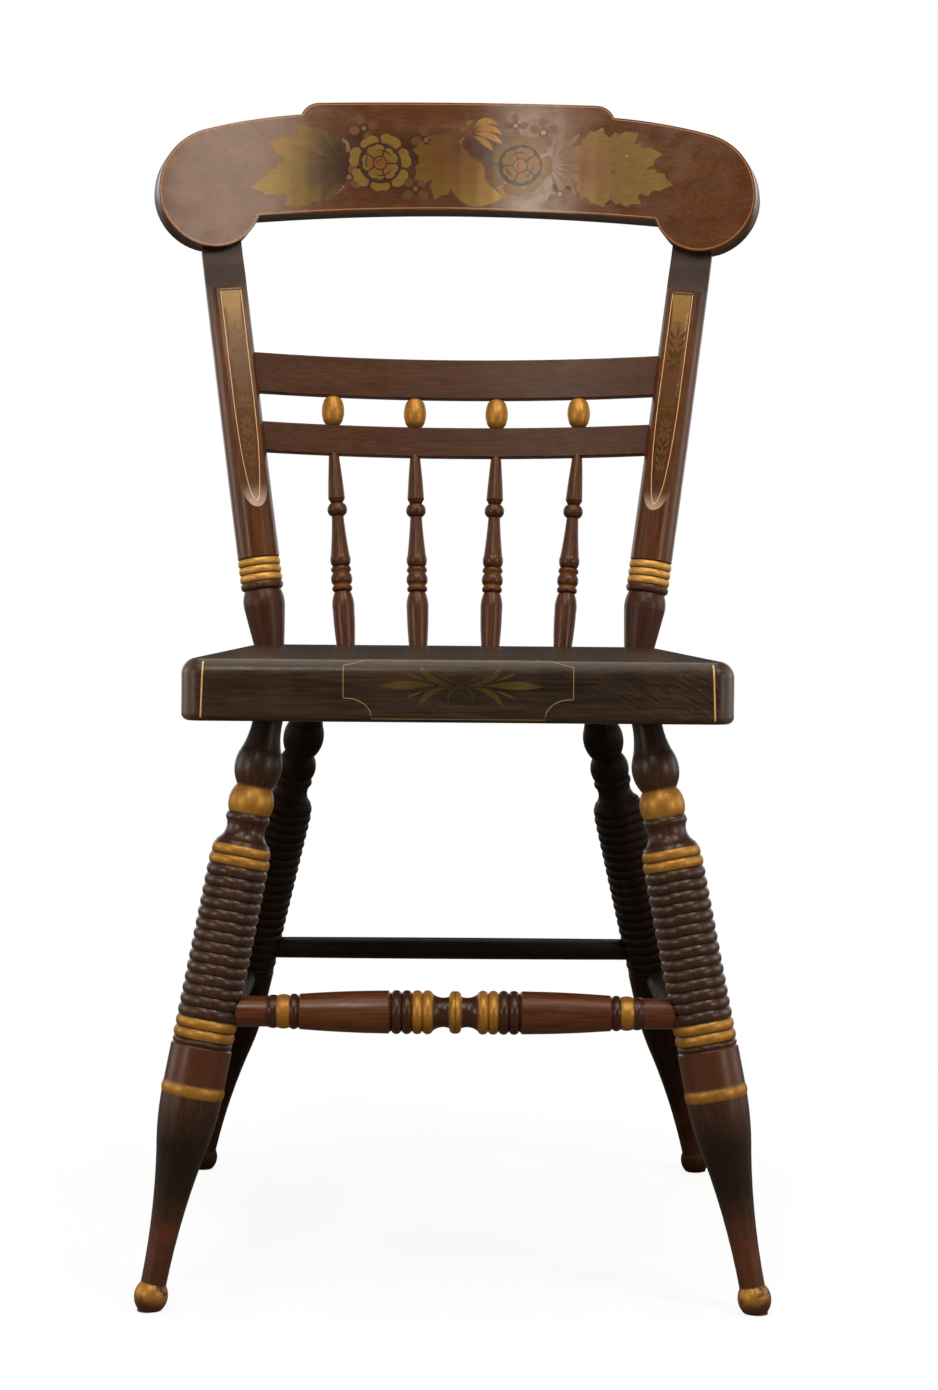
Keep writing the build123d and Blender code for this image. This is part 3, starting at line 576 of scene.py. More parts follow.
# %% Spindles and beads
SPINDLE_LENGTH = 170.0
SPINDLE_LINES = [(49.2, 50.6), (60.0, 61.4)]
SPINDLE_GROOVES = [(43.9, 45.2), (65.0, 66.4), (107.0, 108.2), (118.0, 119.4)]
SPINDLE_DARK = (20, 11, 8)
for number in range(1, 5):
    finish = turned_wood(f"spindle_{number}", "spindle", gloss=0.32, lustre=0.30)
    grooves = bands(finish, SPINDLE_GROOVES, SPINDLE_LENGTH)
    finish.tint(finish.times(grooves, 0.8), SPINDLE_DARK)
    gild(finish, bands(finish, SPINDLE_LINES, SPINDLE_LENGTH, soft=0.25))
    dress(f"spindle_{number}", finish)
    finish = stained_wood(f"bead_{number}_finish", "spindle", UPRIGHT)
    gild(finish, 1.0)
    dress(f"bead_{number}", finish)
print("gold lines on each spindle:", SPINDLE_LINES)

# %% [markdown]
# ## The seat
# The seat is one thick plank, painted almost black-brown and rubbed by a hundred years of
# sitters, so browner wood shows through in wide soft patches. Trouser legs and shoes have
# scratched the front on a slant, more towards its ends than in its middle. The two front
# corners get a painted reflection of the room, a pale grey-brown. The scratches are the edges
# of a cell pattern, stretched on a slant. They are thin, so a little colour is enough and no
# relief is needed.

# %% Painted seat
SCRATCH_WAY = Vector((1, 0, -0.55)).normalized()
# the last of these is the colour of a painted reflection on the front corners
SCRATCH_PALE, RUBBED_BROWN, CORNER_REFLECTION = (104, 84, 68), (76, 50, 36), (112, 94, 80)
finish = stained_wood("seat_finish", "seat", SIDEWAYS, gloss=0.30, relief=0.012, lustre=0.28)
split = finish.add("ShaderNodeSeparateXYZ", finish.place)
across, forward = finish.calc("ABSOLUTE", split.outputs[0]), split.outputs[1]
cells = finish.add("ShaderNodeTexVoronoi", stretched(finish, SCRATCH_WAY, 16.0),
                   feature="DISTANCE_TO_EDGE")
cells.inputs["Scale"].default_value = 520.0
scratches = finish.rescale(cells.outputs["Distance"], 0.12, 0.0)
for limit in (
    finish.rescale(finish.noise(finish.place, 26.0, 3.0), 0.40, 0.60),
    finish.rescale(across, 0.07, 0.17, 0.25, 1.0),
    finish.rescale(forward, -0.240, -0.247),
):
    scratches = finish.times(scratches, limit)
finish.tint(finish.times(scratches, 0.24), SCRATCH_PALE)
rubbed = finish.rescale(finish.noise(finish.place, 9.0, 4.0, 0.65), 0.50, 0.72)
finish.tint(finish.times(rubbed, 0.35), RUBBED_BROWN)
# painted reflection of the room: the two front corners turn pale grey-brown
corner = finish.times(finish.rescale(across, 0.178, 0.188), finish.rescale(forward, -0.234, -0.246))
finish.tint(finish.times(corner, 0.55), CORNER_REFLECTION)
dress("seat", finish)
print("seat painted")

# %% [markdown]
# ## The crest rail's wood
# The crest shows the most wood: a red-brown stain under clear, glossy varnish. The stenciller
# shaded it darker behind the flowers, so that they stand out. Six soft round shadows do that
# here. Each is only a distance from a point, so no picture is needed. The edges get painted
# shade as well, and on the back of the rail the brown returns.
# The rail was bent round a cylinder that leans back, so we find any place on its face from
# two lengths, as a tailor would: millimetres across, round the bend, and millimetres up.

# %% Where things are on the bent crest
CREST_AXIS = Vector((0.0, -365.32, 925.01)) / 1000
CREST_RADIUS = 0.600
CREST_FACE = 0.59225
RAY_START = 0.03
crest_lean = math.radians(14.5)
crest_back = Vector((0, math.cos(crest_lean), -math.sin(crest_lean)))
crest_up = Vector((0, math.sin(crest_lean), math.cos(crest_lean)))


def crest_ray(across, up):
    """A start point in front of the crest's face and the way to it, from millimetres on it."""
    angle = across / 1000 / CREST_RADIUS
    outward = Vector((math.sin(angle), 0, 0)) + crest_back * math.cos(angle)
    return CREST_AXIS + crest_up * (up / 1000) + outward * (CREST_FACE - RAY_START), outward


def crest_point(across, up):
    start, outward = crest_ray(across, up)
    return start + outward * RAY_START


print("middle of the crest's face:", [round(value, 4) for value in crest_point(0, 90)])

# %% Shadows behind the flowers
SHADES = (  # across, up and radius in millimetres, then depth of tone
    (-92, 84, 36, 0.88), (-66, 82, 46, 0.75), (-30, 94, 32, 0.75),
    (-36, 60, 22, 0.45), (26, 96, 40, 0.65), (66, 84, 40, 0.35),
)
SHADE_CORE = 0.004
SHADE_BROWN = (40, 22, 11)
finish = stained_wood("crest_finish", "crest", SIDEWAYS, gloss=0.17, relief=0.04, lustre=0.31)
for across, up, radius, depth in SHADES:
    away = finish.add("ShaderNodeVectorMath", finish.place, crest_point(across, up),
                      operation="DISTANCE").outputs[1]
    finish.tint(finish.rescale(away, radius / 1000, SHADE_CORE, 0.0, depth), SHADE_BROWN)
print("crest shaded in", len(SHADES), "places")

# %% Dark edges of the crest
BEHIND_BROWN, EDGE_SHADE = (66, 37, 19), (34, 19, 12)
offset = finish.vector("SUBTRACT", finish.place, CREST_AXIS)
rise = finish.scaled(crest_up, finish.along(offset, crest_up))
from_axis = finish.length(finish.vector("SUBTRACT", offset, rise))
depth = finish.calc("SUBTRACT", from_axis, CREST_FACE)
finish.tint(finish.rescale(depth, 0.0003, 0.0012, 0.0, 0.75), BEHIND_BROWN)
# painted shade: the rail's edges darker than its face, less so on its back
edge = finish.times(finish.rescale(depth, 0.003, 0.010, 0.0, 0.85),
                    finish.rescale(depth, 0.0140, 0.0153, 1.0, 0.35))
finish.tint(edge, EDGE_SHADE)
finish.dull(edge, 0.22)
dress("crest_rail", finish)
print("crest stained, with dark edges")

# %% [markdown]
# ## Laying paint on a curved face
# Bronze stencil work stands a hair above the varnish. We draw each shape flat, in
# millimetres, fill it with small triangles, and then drop every corner onto the CAD
# surface with a ray, as a stencil is pressed against bent wood. Each patch is a closed skin
# about a tenth of a millimetre thick, with a top, an underside and walls. A flat picture
# could do this too, but real geometry stays sharp from any distance and needs no image file.
# Where one paint lies over another, it lies a little higher, so that the two don't fight
# for the same place.

# %% Finding the surface
HEIGHTS = GLOW, SHADE, DIM, POWDER, LINE = 0.00005, 0.00006, 0.00007, 0.00009, 0.00013
surfaces = {}


def surface(piece):
    """A search tree of one CAD piece, made once."""
    if piece not in surfaces:
        mesh = parts[piece].data
        corners = [vertex.co.copy() for vertex in mesh.vertices]
        faces = [face.vertices[:] for face in mesh.polygons]
        surfaces[piece] = BVHTree.FromPolygons(corners, faces)
    return surfaces[piece]


def drop(piece, ray):
    """Follows a ray to the piece's surface. Returns the spot, and the way out of the wood."""
    start, way = ray
    spot = surface(piece).ray_cast(start, way)[0]
    if spot is None:
        spot = start + way * RAY_START
    return spot, -way


spot, out = drop("crest_rail", crest_ray(0, 90))
print("the crest's face was found at", [round(value, 4) for value in spot])
print("heights of paint in mm:", [round(1000 * height, 2) for height in HEIGHTS])

# %% A skin of paint
SINK = 0.00003
SHARP_ANGLE = math.radians(40)


def skin(tops, faces, outs, height):
    """A closed thin mesh: the given faces on top, the same below, and walls round the rim."""
    count = len(tops)
    above = [spot + out * height for spot, out in zip(tops, outs)]
    below = [spot - out * SINK for spot, out in zip(tops, outs)]
    edges = dict.fromkeys((a, b) for face in faces for a, b in zip(face, face[1:] + face[:1]))
    walls = [(b, a, a + count, b + count) for a, b in edges if (b, a) not in edges]
    under = [tuple(corner + count for corner in reversed(face)) for face in faces]
    return above + below, [tuple(face) for face in faces] + under + walls


def build(name, layers, material):
    """Makes one object from several skins, and tells the frame that it belongs to the chair."""
    corners, faces = [], []
    for skin_corners, skin_faces in layers:
        base = len(corners)
        corners += skin_corners
        faces += [tuple(corner + base for corner in face) for face in skin_faces]
    mesh = bpy.data.meshes.new(name)
    mesh.from_pydata([tuple(corner) for corner in corners], [], faces)
    mesh.materials.append(material)
    mesh.shade_smooth()
    mesh.set_sharp_from_angle(angle=SHARP_ANGLE)
    piece = bpy.data.objects.new(name, mesh)
    bpy.context.collection.objects.link(piece)
    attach(piece, "root")
    print(name, "has", len(faces), "faces")


print("each skin also sinks", round(1000 * SINK, 2), "mm into the wood")


# %% Patches and stripes
def patch(piece, ray, outlines, height, grid=3.0):
    """Fills flat outlines, in millimetres, with triangles and lays them on a CAD piece."""
    points, loops = [], []
    for outline in outlines:
        loops.append(list(range(len(points), len(points) + len(outline))))
        points += [Vector(point) for point in outline]
    left, right = min(p.x for p in points), max(p.x for p in points)
    low, high = min(p.y for p in points), max(p.y for p in points)
    for row in range(int((high - low) / grid) + 1):
        for column in range(int((right - left) / grid) + 1):
            points.append(Vector((left + grid * (column + 0.5 * (row % 2)), low + grid * row)))
    flat, _, faces, *_ = delaunay_2d_cdt(points, [], loops, 1, 1e-4)
    used = sorted({corner for face in faces for corner in face})
    place = {corner: number for number, corner in enumerate(used)}
    spots, outs = zip(*(drop(piece, ray(*flat[corner])) for corner in used))
    return skin(spots, [[place[corner] for corner in face] for face in faces], outs, height)


def stripe(piece, ray, line, width, height, closed=False):
    """Lays a fine brushed line along flat points, in millimetres."""
    line = [Vector(point) for point in line]
    count = len(line)
    sides = []
    for number, point in enumerate(line):
        before = line[number - 1] if number or closed else point
        after = line[(number + 1) % count] if number < count - 1 or closed else point
        across = (after - before).normalized().orthogonal() * width / 2
        sides += [point + across, point - across]
    spots, outs = zip(*(drop(piece, ray(*point)) for point in sides))
    faces = []
    for number in range(count if closed else count - 1):
        a, b = 2 * number, 2 * ((number + 1) % count)
        faces.append([a, a + 1, b + 1, b])
    return skin(spots, faces, outs, height)


def crest_patch(outline, height=POWDER, grid=3.0):
    return patch("crest_rail", crest_ray, [outline], height, grid)


print("patches and stripes can be laid")

# %% [markdown]
# ## Shapes for the stencils
# A stencil cutter works with a few shapes over and over: a toothed leaf, a smooth blade, a
# rounded petal, a crescent that stands for the fold of a petal, and a small round dot. We
# write one short function for each. The leaf's teeth get a little uneven from a sine wave,
# because no two cuts of a knife are the same. All the shapes below are made up from these few.

# %% Leaf and blade
def aside_of(ahead):
    """The flat direction a quarter turn to the left."""
    return Vector((-ahead.y, ahead.x)).normalized()


def leaf(base, tip, width, teeth, fullness=0.8):
    """The outline of a toothed leaf, from its base to its tip and back."""
    base, tip = Vector(base), Vector(tip)
    ahead = tip - base
    aside = aside_of(ahead)
    sides = ([], [])
    for tooth in range(teeth):
        for step, swell in ((0.15, 0.82), (0.95, 1.15)):
            share = (tooth + step) / teeth
            if share > 0.97:
                continue
            half = width / 2 * math.sin(math.pi * share ** fullness) ** 0.75
            for side, sign in zip(sides, (1, -1)):
                uneven = 1 + 0.10 * math.sin(2.4 * tooth + 1.7 * sign + width)
                side.append(base + ahead * share + aside * sign * half * swell * uneven)
    return [base, *sides[0], tip, *reversed(sides[1])]


def blade(base, control, tip, width, fullness=1.3):
    """A smooth curved leaf along a bent middle line."""
    base, control, tip = Vector(base), Vector(control), Vector(tip)
    sides = ([], [])
    for step in range(1, 16):
        share = step / 16
        low, high = base.lerp(control, share), control.lerp(tip, share)
        half = width / 2 * math.sin(math.pi * share ** fullness)
        for side, sign in zip(sides, (1, -1)):
            side.append(low.lerp(high, share) + aside_of(high - low) * half * sign)
    return [base, *sides[0], tip, *reversed(sides[1])]


print("a leaf with 6 teeth has", len(leaf((0, 0), (40, 0), 16, 6)), "corners")


# %% Petal, crescent and dot
def polar(centre, angle, reach):
    return Vector(centre) + Vector((math.cos(angle), math.sin(angle))) * reach


def petal(centre, angle, inner, outer, spread, notch=0.05):
    """A rounded petal that points away from a flower's centre."""
    outline = []
    for step in range(-9, 10):
        share = step / 9
        dip = notch * max(0.0, 1 - abs(share - 0.12) * 3.2)
        reach = outer * (1 - 0.16 * abs(share) ** 3.5 - dip)
        outline.append(polar(centre, angle + spread * share, reach))
    for step in range(9, -10, -3):
        outline.append(polar(centre, angle + spread * 0.86 * step / 9, inner))
    return outline


def crescent(centre, radius, start, end, thick):
    """A curved sliver, thickest in its middle."""
    rims = ([], [])
    for step in range(15):
        share = step / 14
        half = thick / 2 * math.sin(math.pi * min(max(share, 0.02), 0.98))
        for rim, sign in zip(rims, (1, -1)):
            rim.append(polar(centre, start + (end - start) * share, radius + sign * half))
    return [*rims[0], *reversed(rims[1])]


def dot(centre, width, height=None, turn=0.0, count=18):
    """An ellipse."""
    height = width if height is None else height
    outline = []
    for step in range(count):
        angle = 2 * math.pi * step / count
        x, y = width / 2 * math.cos(angle), height / 2 * math.sin(angle)
        outline.append(Vector(centre) + Vector((x * math.cos(turn) - y * math.sin(turn),
                                                x * math.sin(turn) + y * math.cos(turn))))
    return outline


print("a petal has", len(petal((0, 0), 0.0, 5, 10, 0.4)), "corners")

# %% [markdown]
# ## Bronze powders
# The stenciller rubs dry bronze powder through the cut shape onto tacky varnish, hard at the
# rim and softly towards the middle, so each leaf fades into the dark ground. The fade is a
# ramp read at the distance from one point, with a fan of rays in it from the strokes of the
# rubbing pad. Powder is only partly metal to the eye, so the brightest of these finishes are
# about a quarter metallic, the dim ones less and plain paint not at all. The old varnish
# over them gives nearly the same gloss as on the wood.

# %% A finish that fades round a point
OLD_BROWN = (70, 44, 26)


def bronze(name, spot, reach, *stops, metal=0.28, rough=0.22, rays=0.4, strength=1.0):
    """Powder colours by distance from a spot: stops are (share of the reach, colour)."""
    finish = Finish(name)
    offset = finish.vector("SUBTRACT", finish.place, spot)
    share = finish.calc("DIVIDE", finish.length(offset), reach / 1000)
    fan = finish.noise(finish.vector("NORMALIZE", offset), 9.0, 4.0, 0.6)
    cloud = finish.noise(finish.place, 130.0, 3.0, 0.6)
    for pattern, amount in ((fan, rays), (cloud, 0.24)):
        shift = finish.calc("MULTIPLY_ADD", pattern, amount, -0.5 * amount)
        share = finish.calc("ADD", share, shift)
    finish.colour = finish.ramp(share, *stops)
    grain = finish.noise(stretched(finish, SIDEWAYS), 620.0, 3.0)
    finish.tint(finish.rescale(grain, 0.42, 0.72, 0.0, 0.26 * strength), OLD_BROWN)
    fine = finish.noise(finish.place, 1400.0, 2.0)
    finish.roughness = finish.rescale(fine, 0.3, 0.7, rough - 0.04, rough + 0.05)
    finish.give({"Metallic": metal, "Specular IOR Level": 0.22, "Specular Tint": VARNISH_LIGHT,
                 "Coat Weight": 0.06, "Coat Roughness": VARNISH_ROUGHNESS})
    return finish.done()


print("bronze powder fades towards", OLD_BROWN)

# %% [markdown]
# ## Leaves on the crest
# Three large leaves carry the design: one at each end, opening away from the middle, and a
# shorter one between the flowers. Each is a fan of toothed leaflets from one base, filled
# together so that they become a single shape. The middle one also has two broad smooth
# blades below. Fine veins are drawn on afterwards.

# %% The three large leaves
LEAVES = {  # base, reach of the fade, leaflets as (tip, width, teeth), and the powders
    "left": ((-97, 78), 80, (
        ((-177, 48), 34, 9), ((-163, 91), 33, 8), ((-139, 110), 27, 7), ((-112, 109), 17, 4),
        ((-148, 36), 30, 8), ((-118, 43), 18, 5),
    ), (
        (0.0, (50, 32, 17)), (0.14, (52, 35, 18)), (0.32, (70, 51, 25)), (0.50, (88, 66, 28)),
        (0.70, (95, 71, 27)), (1.0, (103, 79, 32)),
    )),
    "right": ((106, 76), 80, (
        ((186, 54), 33, 9), ((177, 83), 33, 8), ((157, 104), 30, 7), ((126, 112), 24, 5),
        ((158, 40), 28, 7), ((126, 40), 24, 5),
    ), (
        (0.0, (90, 55, 30)), (0.25, (104, 73, 40)), (0.50, (106, 79, 37)), (0.80, (115, 89, 38)),
        (1.0, (111, 85, 38)),
    )),
    "middle": ((0, 96), 62, (
        ((-39, 94), 27, 6), ((-37, 68), 30, 7), ((-20, 50), 27, 6), ((-14, 110), 18, 5),
    ), (
        (0.0, (82, 50, 24)), (0.30, (94, 59, 23)), (0.50, (98, 66, 23)), (0.70, (103, 75, 26)),
        (1.0, (110, 83, 31)),
    )),
}
EXTRA_BLADES = {"middle": (((4, 106), (-6, 52), (40, 53), 30), ((2, 104), (6, 72), (24, 62), 26))}
for name, (base, reach, leaflets, stops) in LEAVES.items():
    spot = crest_point(*base)
    outlines = [leaf(base, *leaflet) for leaflet in leaflets]
    outlines += [blade(*points) for points in EXTRA_BLADES.get(name, ())]
    powder = bronze(f"leaf_{name}_bronze", spot, reach, *stops)
    layers = [patch("crest_rail", crest_ray, outlines, POWDER)]
    build(f"stencil_leaf_{name}", layers, powder)
    veins = []
    for tip, *_ in leaflets:
        line = [Vector(base).lerp(Vector(tip), 0.34 + 0.05 * step) for step in range(11)]
        veins.append(stripe("crest_rail", crest_ray, line, 0.35, LINE))
    powder = bronze(f"vein_{name}_bronze", spot, 80, (0.2, stops[1][1]), (0.6, (96, 72, 38)),
                    (1.0, (124, 96, 48)))
    build(f"stencil_veins_{name}", veins, powder)

# %% [markdown]
# ## Flowers on the crest
# A rose is a ring of seven gold petals round a dark circle. Inside it stand five smaller
# petals round a small heart, warmed with a little red powder, and dark crescents draw the
# folds. The rose right of the middle is the same flower turned, with less powder. Small
# blossoms of three to five petals, almost the colour of the wood, fill the dark places
# between, and one striped bloom stands above the middle leaf.

# %% Petals of a rose
FOLDS = (  # radius, start and sweep of a crescent, its thickness, and how far it is off centre
    (0.40, 0.2, 1.5, 0.05, (0.02, 0.03)), (0.42, 2.2, 1.3, 0.05, (-0.03, 0.02)),
    (0.39, 4.1, 1.6, 0.05, (0.01, -0.03)), (0.11, 0.6, 3.4, 0.04, (0.02, 0.0)),
)
OUTER_PETALS, INNER_PETALS = 7, 5


def rose_petals(centre, size, turn):
    """Skins for the outer petals, the inner petals and the heart."""
    shapes = []
    step = 2 * math.pi / OUTER_PETALS
    for number in range(OUTER_PETALS):
        reach = size * (1 + 0.05 * math.sin(2.1 * number + turn))
        shape = petal(centre, turn + step * number, 0.69 * size, reach, step * 0.46)
        shapes.append(crest_patch(shape, grid=2.5))
    for number in range(INNER_PETALS):
        angle = turn + 0.4 + 2 * math.pi * number / INNER_PETALS
        reach = size * (0.60 + 0.03 * math.sin(1.7 * number + turn))
        shapes.append(crest_patch(petal(centre, angle, 0.24 * size, reach, 0.585, 0.08), grid=2.0))
    return [*shapes, crest_patch(dot(centre, 0.40 * size, count=24), grid=2.0)]


print("petals in a rose:", OUTER_PETALS, "outside and", INNER_PETALS, "inside")


# %% Two roses
def rose(name, centre, size, turn, ground, gold, metal):
    """Builds one rose: its dark ground, its petals, and the folds drawn on them."""
    spot = crest_point(*centre)
    dark = bronze(f"{name}_ground", spot, 30, (0.0, ground), (1.0, ground), metal=0.0)
    disc = crest_patch(dot(centre, 1.36 * size, count=48), SHADE)
    build(f"{name}_shade", [disc], dark)
    powder = bronze(f"{name}_bronze", spot, size, *gold, metal=metal, rays=0.16)
    build(f"{name}_petals", rose_petals(centre, size, turn), powder)
    folds = []
    for radius, start, sweep, thick, shift in FOLDS:
        middle = Vector(centre) + Vector(shift) * size
        shape = crescent(middle, radius * size, start + turn, start + turn + sweep, thick * size)
        folds.append(crest_patch(shape, LINE, 2.0))
    build(f"{name}_folds", folds, dark)


rose("rose_left", (-66.6, 81.4), 26.8, 0.25, (48, 29, 15), (
    (0.0, (118, 62, 28)), (0.22, (112, 74, 31)), (0.50, (114, 84, 33)), (1.0, (121, 91, 37)),
), 0.28)
rose("rose_right", (54.0, 81.0), 27.5, 0.85, (42, 23, 11), (
    (0.0, (112, 63, 33)), (0.24, (94, 62, 29)), (0.60, (91, 66, 31)), (1.0, (80, 54, 27)),
), 0.12)

# %% The striped bloom
BLOOM_BLADES = (  # base, control point, tip and width
    ((12, 114), (23, 127), (35, 118), 6.4), ((13, 112), (27, 120), (39, 109), 6.2),
    ((14, 110), (28, 112), (39, 100), 6.0), ((13, 108), (24, 105), (31, 94), 5.6),
    ((8, 112), (4, 117), (2, 111), 4.0), ((9, 115), (8, 122), (14, 121), 4.5),
    ((7, 108), (2, 104), (-1, 97), 3.0),
)
striped = [crest_patch(blade(*points, 1.0), grid=2.5) for points in BLOOM_BLADES]
striped.append(crest_patch(dot((9.5, 111.5), 5.0, count=16), LINE))
powder = bronze("striped_bloom_bronze", crest_point(9, 112), 32,
                (0.0, (88, 52, 26)), (0.5, (124, 86, 40)), (1.0, (120, 88, 44)))
build("striped_bloom", striped, powder)

# %% The small blossoms
BLOSSOMS = (  # across, up, size, number of petals, turn
    (-81, 112, 8.5, 4, 0.4), (-27, 104, 8.5, 4, 0.2), (-36, 59.5, 8.5, 4, 0.8),
    (-93, 67, 8.0, 3, 3.4), (74, 110, 8.5, 5, 0.3), (50, 117, 7.0, 4, 0.0), (88, 54, 7.0, 4, 0.5),
)
blossoms, eyes, hearts = [], [], []
for across, up, size, count, turn in BLOSSOMS:
    centre = Vector((across, up))
    for number in range(count):
        angle = 2 * math.pi * number / count + turn + 0.25 * math.sin(3 * number)
        spot = polar(centre, angle, size)
        blossoms.append(crest_patch(dot(spot, size * 1.12, size * 0.94, angle), DIM))
    eyes.append(crest_patch(dot(centre, size)))
    hearts.append(crest_patch(dot(centre, size * 0.55, count=14), LINE))
for name, powder_name, layers, metal, *stops in (
    ("small_blossoms", "dim_bronze", blossoms, 0.0,
     (0.0, (80, 49, 27)), (0.8, (86, 54, 30)), (1.0, (96, 62, 35))),
    ("small_blossom_eyes", "eye_bronze", eyes, 0.0,
     (0.0, (48, 27, 14)), (1.0, (56, 33, 17))),
    ("small_blossom_hearts", "heart_bronze", hearts, 0.28,
     (0.0, (106, 68, 38)), (1.0, (116, 78, 46))),
):
    powder = bronze(powder_name, crest_point(0, 80), 100, *stops, metal=metal)
    build(name, layers, powder)

# %% Sprays of narrow leaves
SPRAYS = (  # one base and its tips
    ((78, 80), ((106, 108), (114, 98), (118, 87), (117, 74), (112, 62), (102, 52), (92, 112),
                (90, 46))),
    ((-90, 86), ((-108, 99), (-104, 88), (-101, 102))),
    ((-92, 62), ((-112, 49),)),
    ((30, 66), ((46, 50), (52, 55))),
)
narrow = []
for base, tips in SPRAYS:
    for tip in tips:
        base_point, tip_point = Vector(base).lerp(Vector(tip), 0.2), Vector(tip)
        bend = (base_point + tip_point) / 2 + Vector((0.8, 1.2))
        narrow.append(crest_patch(blade(base_point, bend, tip_point, 5.6, 1.1), DIM))
powder = bronze("narrow_bronze", crest_point(84, 80), 40, (0.0, (84, 52, 28)), (0.5, (104, 72, 40)),
                (1.0, (114, 84, 46)), metal=0.05)
build("narrow_leaves", narrow, powder)

# %% [markdown]
# ## Pinstripes
# A striper pulls one long fine line of yellow or amber paint a hair inside the edge. To get a
# line that really follows the edge, we read the rim of the crest's front face from its mesh,
# step it inwards by a fixed distance, and leave out any point that has come too near the rim,
# as happens at the inner corners.

# %% The rim of the crest's face
def crest_flat(spot):
    """The reverse of crest_point: millimetres across and up on the face."""
    offset = spot - CREST_AXIS
    angle = math.atan2(offset.x, offset.dot(crest_back))
    return Vector((angle * CREST_RADIUS * 1000, offset.dot(crest_up) * 1000))


def on_face(face):
    """Whether a triangle of the crest lies on its front, which is a part of a cylinder."""
    offset = face.center - CREST_AXIS
    offset -= crest_up * offset.dot(crest_up)
    return abs(offset.length - CREST_FACE) < 0.0005 and face.normal.dot(offset.normalized()) < -0.95


mesh = parts["crest_rail"].data
arrows = {}
for face in filter(on_face, mesh.polygons):
    keys = [tuple(round(value * 1e6) for value in mesh.vertices[corner].co)
            for corner in face.vertices]
    arrows.update(dict.fromkeys(zip(keys, keys[1:] + keys[:1])))
rim = dict((a, b) for a, b in arrows if (b, a) not in arrows)
loops = []
while rim:
    key, after = rim.popitem()
    loop = [key]
    while after in rim:
        loop.append(after)
        after = rim.pop(after)
    loops.append([crest_flat(Vector(key) / 1e6) for key in loop])
outline = max(loops, key=len)
print("rim of the crest's face:", len(outline), "points in", len(loops), "loops")


# %% Stepping a line inwards
def even(points, spacing):
    """Points at even spacing round a closed line."""
    spaced, carry = [], 0.0
    for a, b in zip(points, points[1:] + points[:1]):
        length = (b - a).length
        while carry < length:
            spaced.append(a.lerp(b, carry / length))
            carry += spacing
        carry -= length
    return spaced


def inset(points, distance):
    """The closed line moved inwards, without the loops that form at tight corners."""
    area = sum(a.cross(b) for a, b in zip(points, points[1:] + points[:1]))
    inwards = 1 if area > 0 else -1
    moved = []
    for number, point in enumerate(points):
        ahead = points[(number + 1) % len(points)] - points[number - 1]
        spot = point + aside_of(ahead) * distance * inwards
        if min((spot - other).length for other in points) > distance * 0.97:
            moved.append(spot)
    return moved


def striping(name, dark, light, strength=1.0):
    """Plain paint for a striping brush, between two tones."""
    return bronze(name, (0, 0, 0), 1000, (0.0, dark), (1.0, light), metal=0.0, strength=strength)


stripe_line = even(inset(even(outline, 1.0), 1.6), 2.0)
yellow = striping("stripe_yellow", (204, 156, 92), (216, 170, 106), 0.5)
amber = striping("stripe_amber", (146, 94, 52), (160, 106, 62))
crest_stripe = stripe("crest_rail", crest_ray, stripe_line, 0.8, POWDER, closed=True)
build("crest_pinstripe", [crest_stripe], amber)

# %% [markdown]
# ## The posts' shaved fronts
# Each post has a long flat, shaved on the front and turned a little towards the middle. Two
# pinstripes run down it and meet in a point above the rings, and a thin light line, a painted
# highlight, marks its upper edge. Between the stripes lies a glow of bronze, brightest at the
# top and fading downwards, with a column of small darker leaves on it. The post is bent, so
# the ray for a point starts from the bent centre line, in the same way as the CAD model was drawn.

# %% Rays onto a post's flat
POST_ROOT = Vector((151.3, 128.08, SEAT_TOP)) / 1000
POST_WAY = Vector((0.133966, 0.108355, 0.985044))
POST_BACK = Vector((-0.014602, 0.994112, -0.107366))
POST_ACROSS = POST_BACK.cross(POST_WAY)
POST_STRAIGHT = 81.0
POST_BEND = 1692.83
FLAT_TURN = math.radians(20.0)


def post_ray(sign):
    """Makes the ray for a flat, from millimetres across and along. 1 is the right post."""
    aside = POST_ACROSS * math.cos(FLAT_TURN) - POST_BACK * math.sin(FLAT_TURN)
    inwards = POST_ACROSS * math.sin(FLAT_TURN) + POST_BACK * math.cos(FLAT_TURN)

    def ray(across, reach):
        back, up = 0.0, reach
        if reach > POST_STRAIGHT:
            angle = (reach - POST_STRAIGHT) / POST_BEND
            back = POST_BEND * (1 - math.cos(angle))
            up = POST_STRAIGHT + POST_BEND * math.sin(angle)
        centre = POST_ROOT + (POST_BACK * back + POST_WAY * up) / 1000
        start = centre + aside * (across / 1000) - inwards * RAY_START
        return tuple(Vector((sign * way.x, way.y, way.z)) for way in (start, inwards))
    return ray


spot, out = drop("back_post_right", post_ray(1)(0, 200))
print("the flat faces", [round(value, 3) for value in out])

# %% The two stripes of a flat
FLAT_TOP, FLAT_TIP = 296.5, 117.0
STRIPE_OUT = 8.6


def flat_stripe(edge):
    """One side of the long pointed frame, from its top to its tip. Edge is 1 or -1."""
    line = []
    for step in range(73):
        reach = FLAT_TOP - (FLAT_TOP - FLAT_TIP) * step / 72
        close = max(0.0, (205.0 - reach) / 88.0)
        line.append((edge * STRIPE_OUT * math.sqrt(max(0.0, 1 - close ** 2)), reach))
    return line


# a painted highlight: a thin light line along the flat's upper edge
edge_glint_line = [(-STRIPE_OUT + 0.86 * step, 297.9) for step in range(21)]
half_glow = [(7.7, 296), (7.6, 240), (7.3, 200), (6.6, 176)]
glow_outline = [(-7.7, 296), *half_glow, *((-x, y) for x, y in reversed(half_glow[1:]))]
print("each frame is", FLAT_TOP - FLAT_TIP, "mm long")

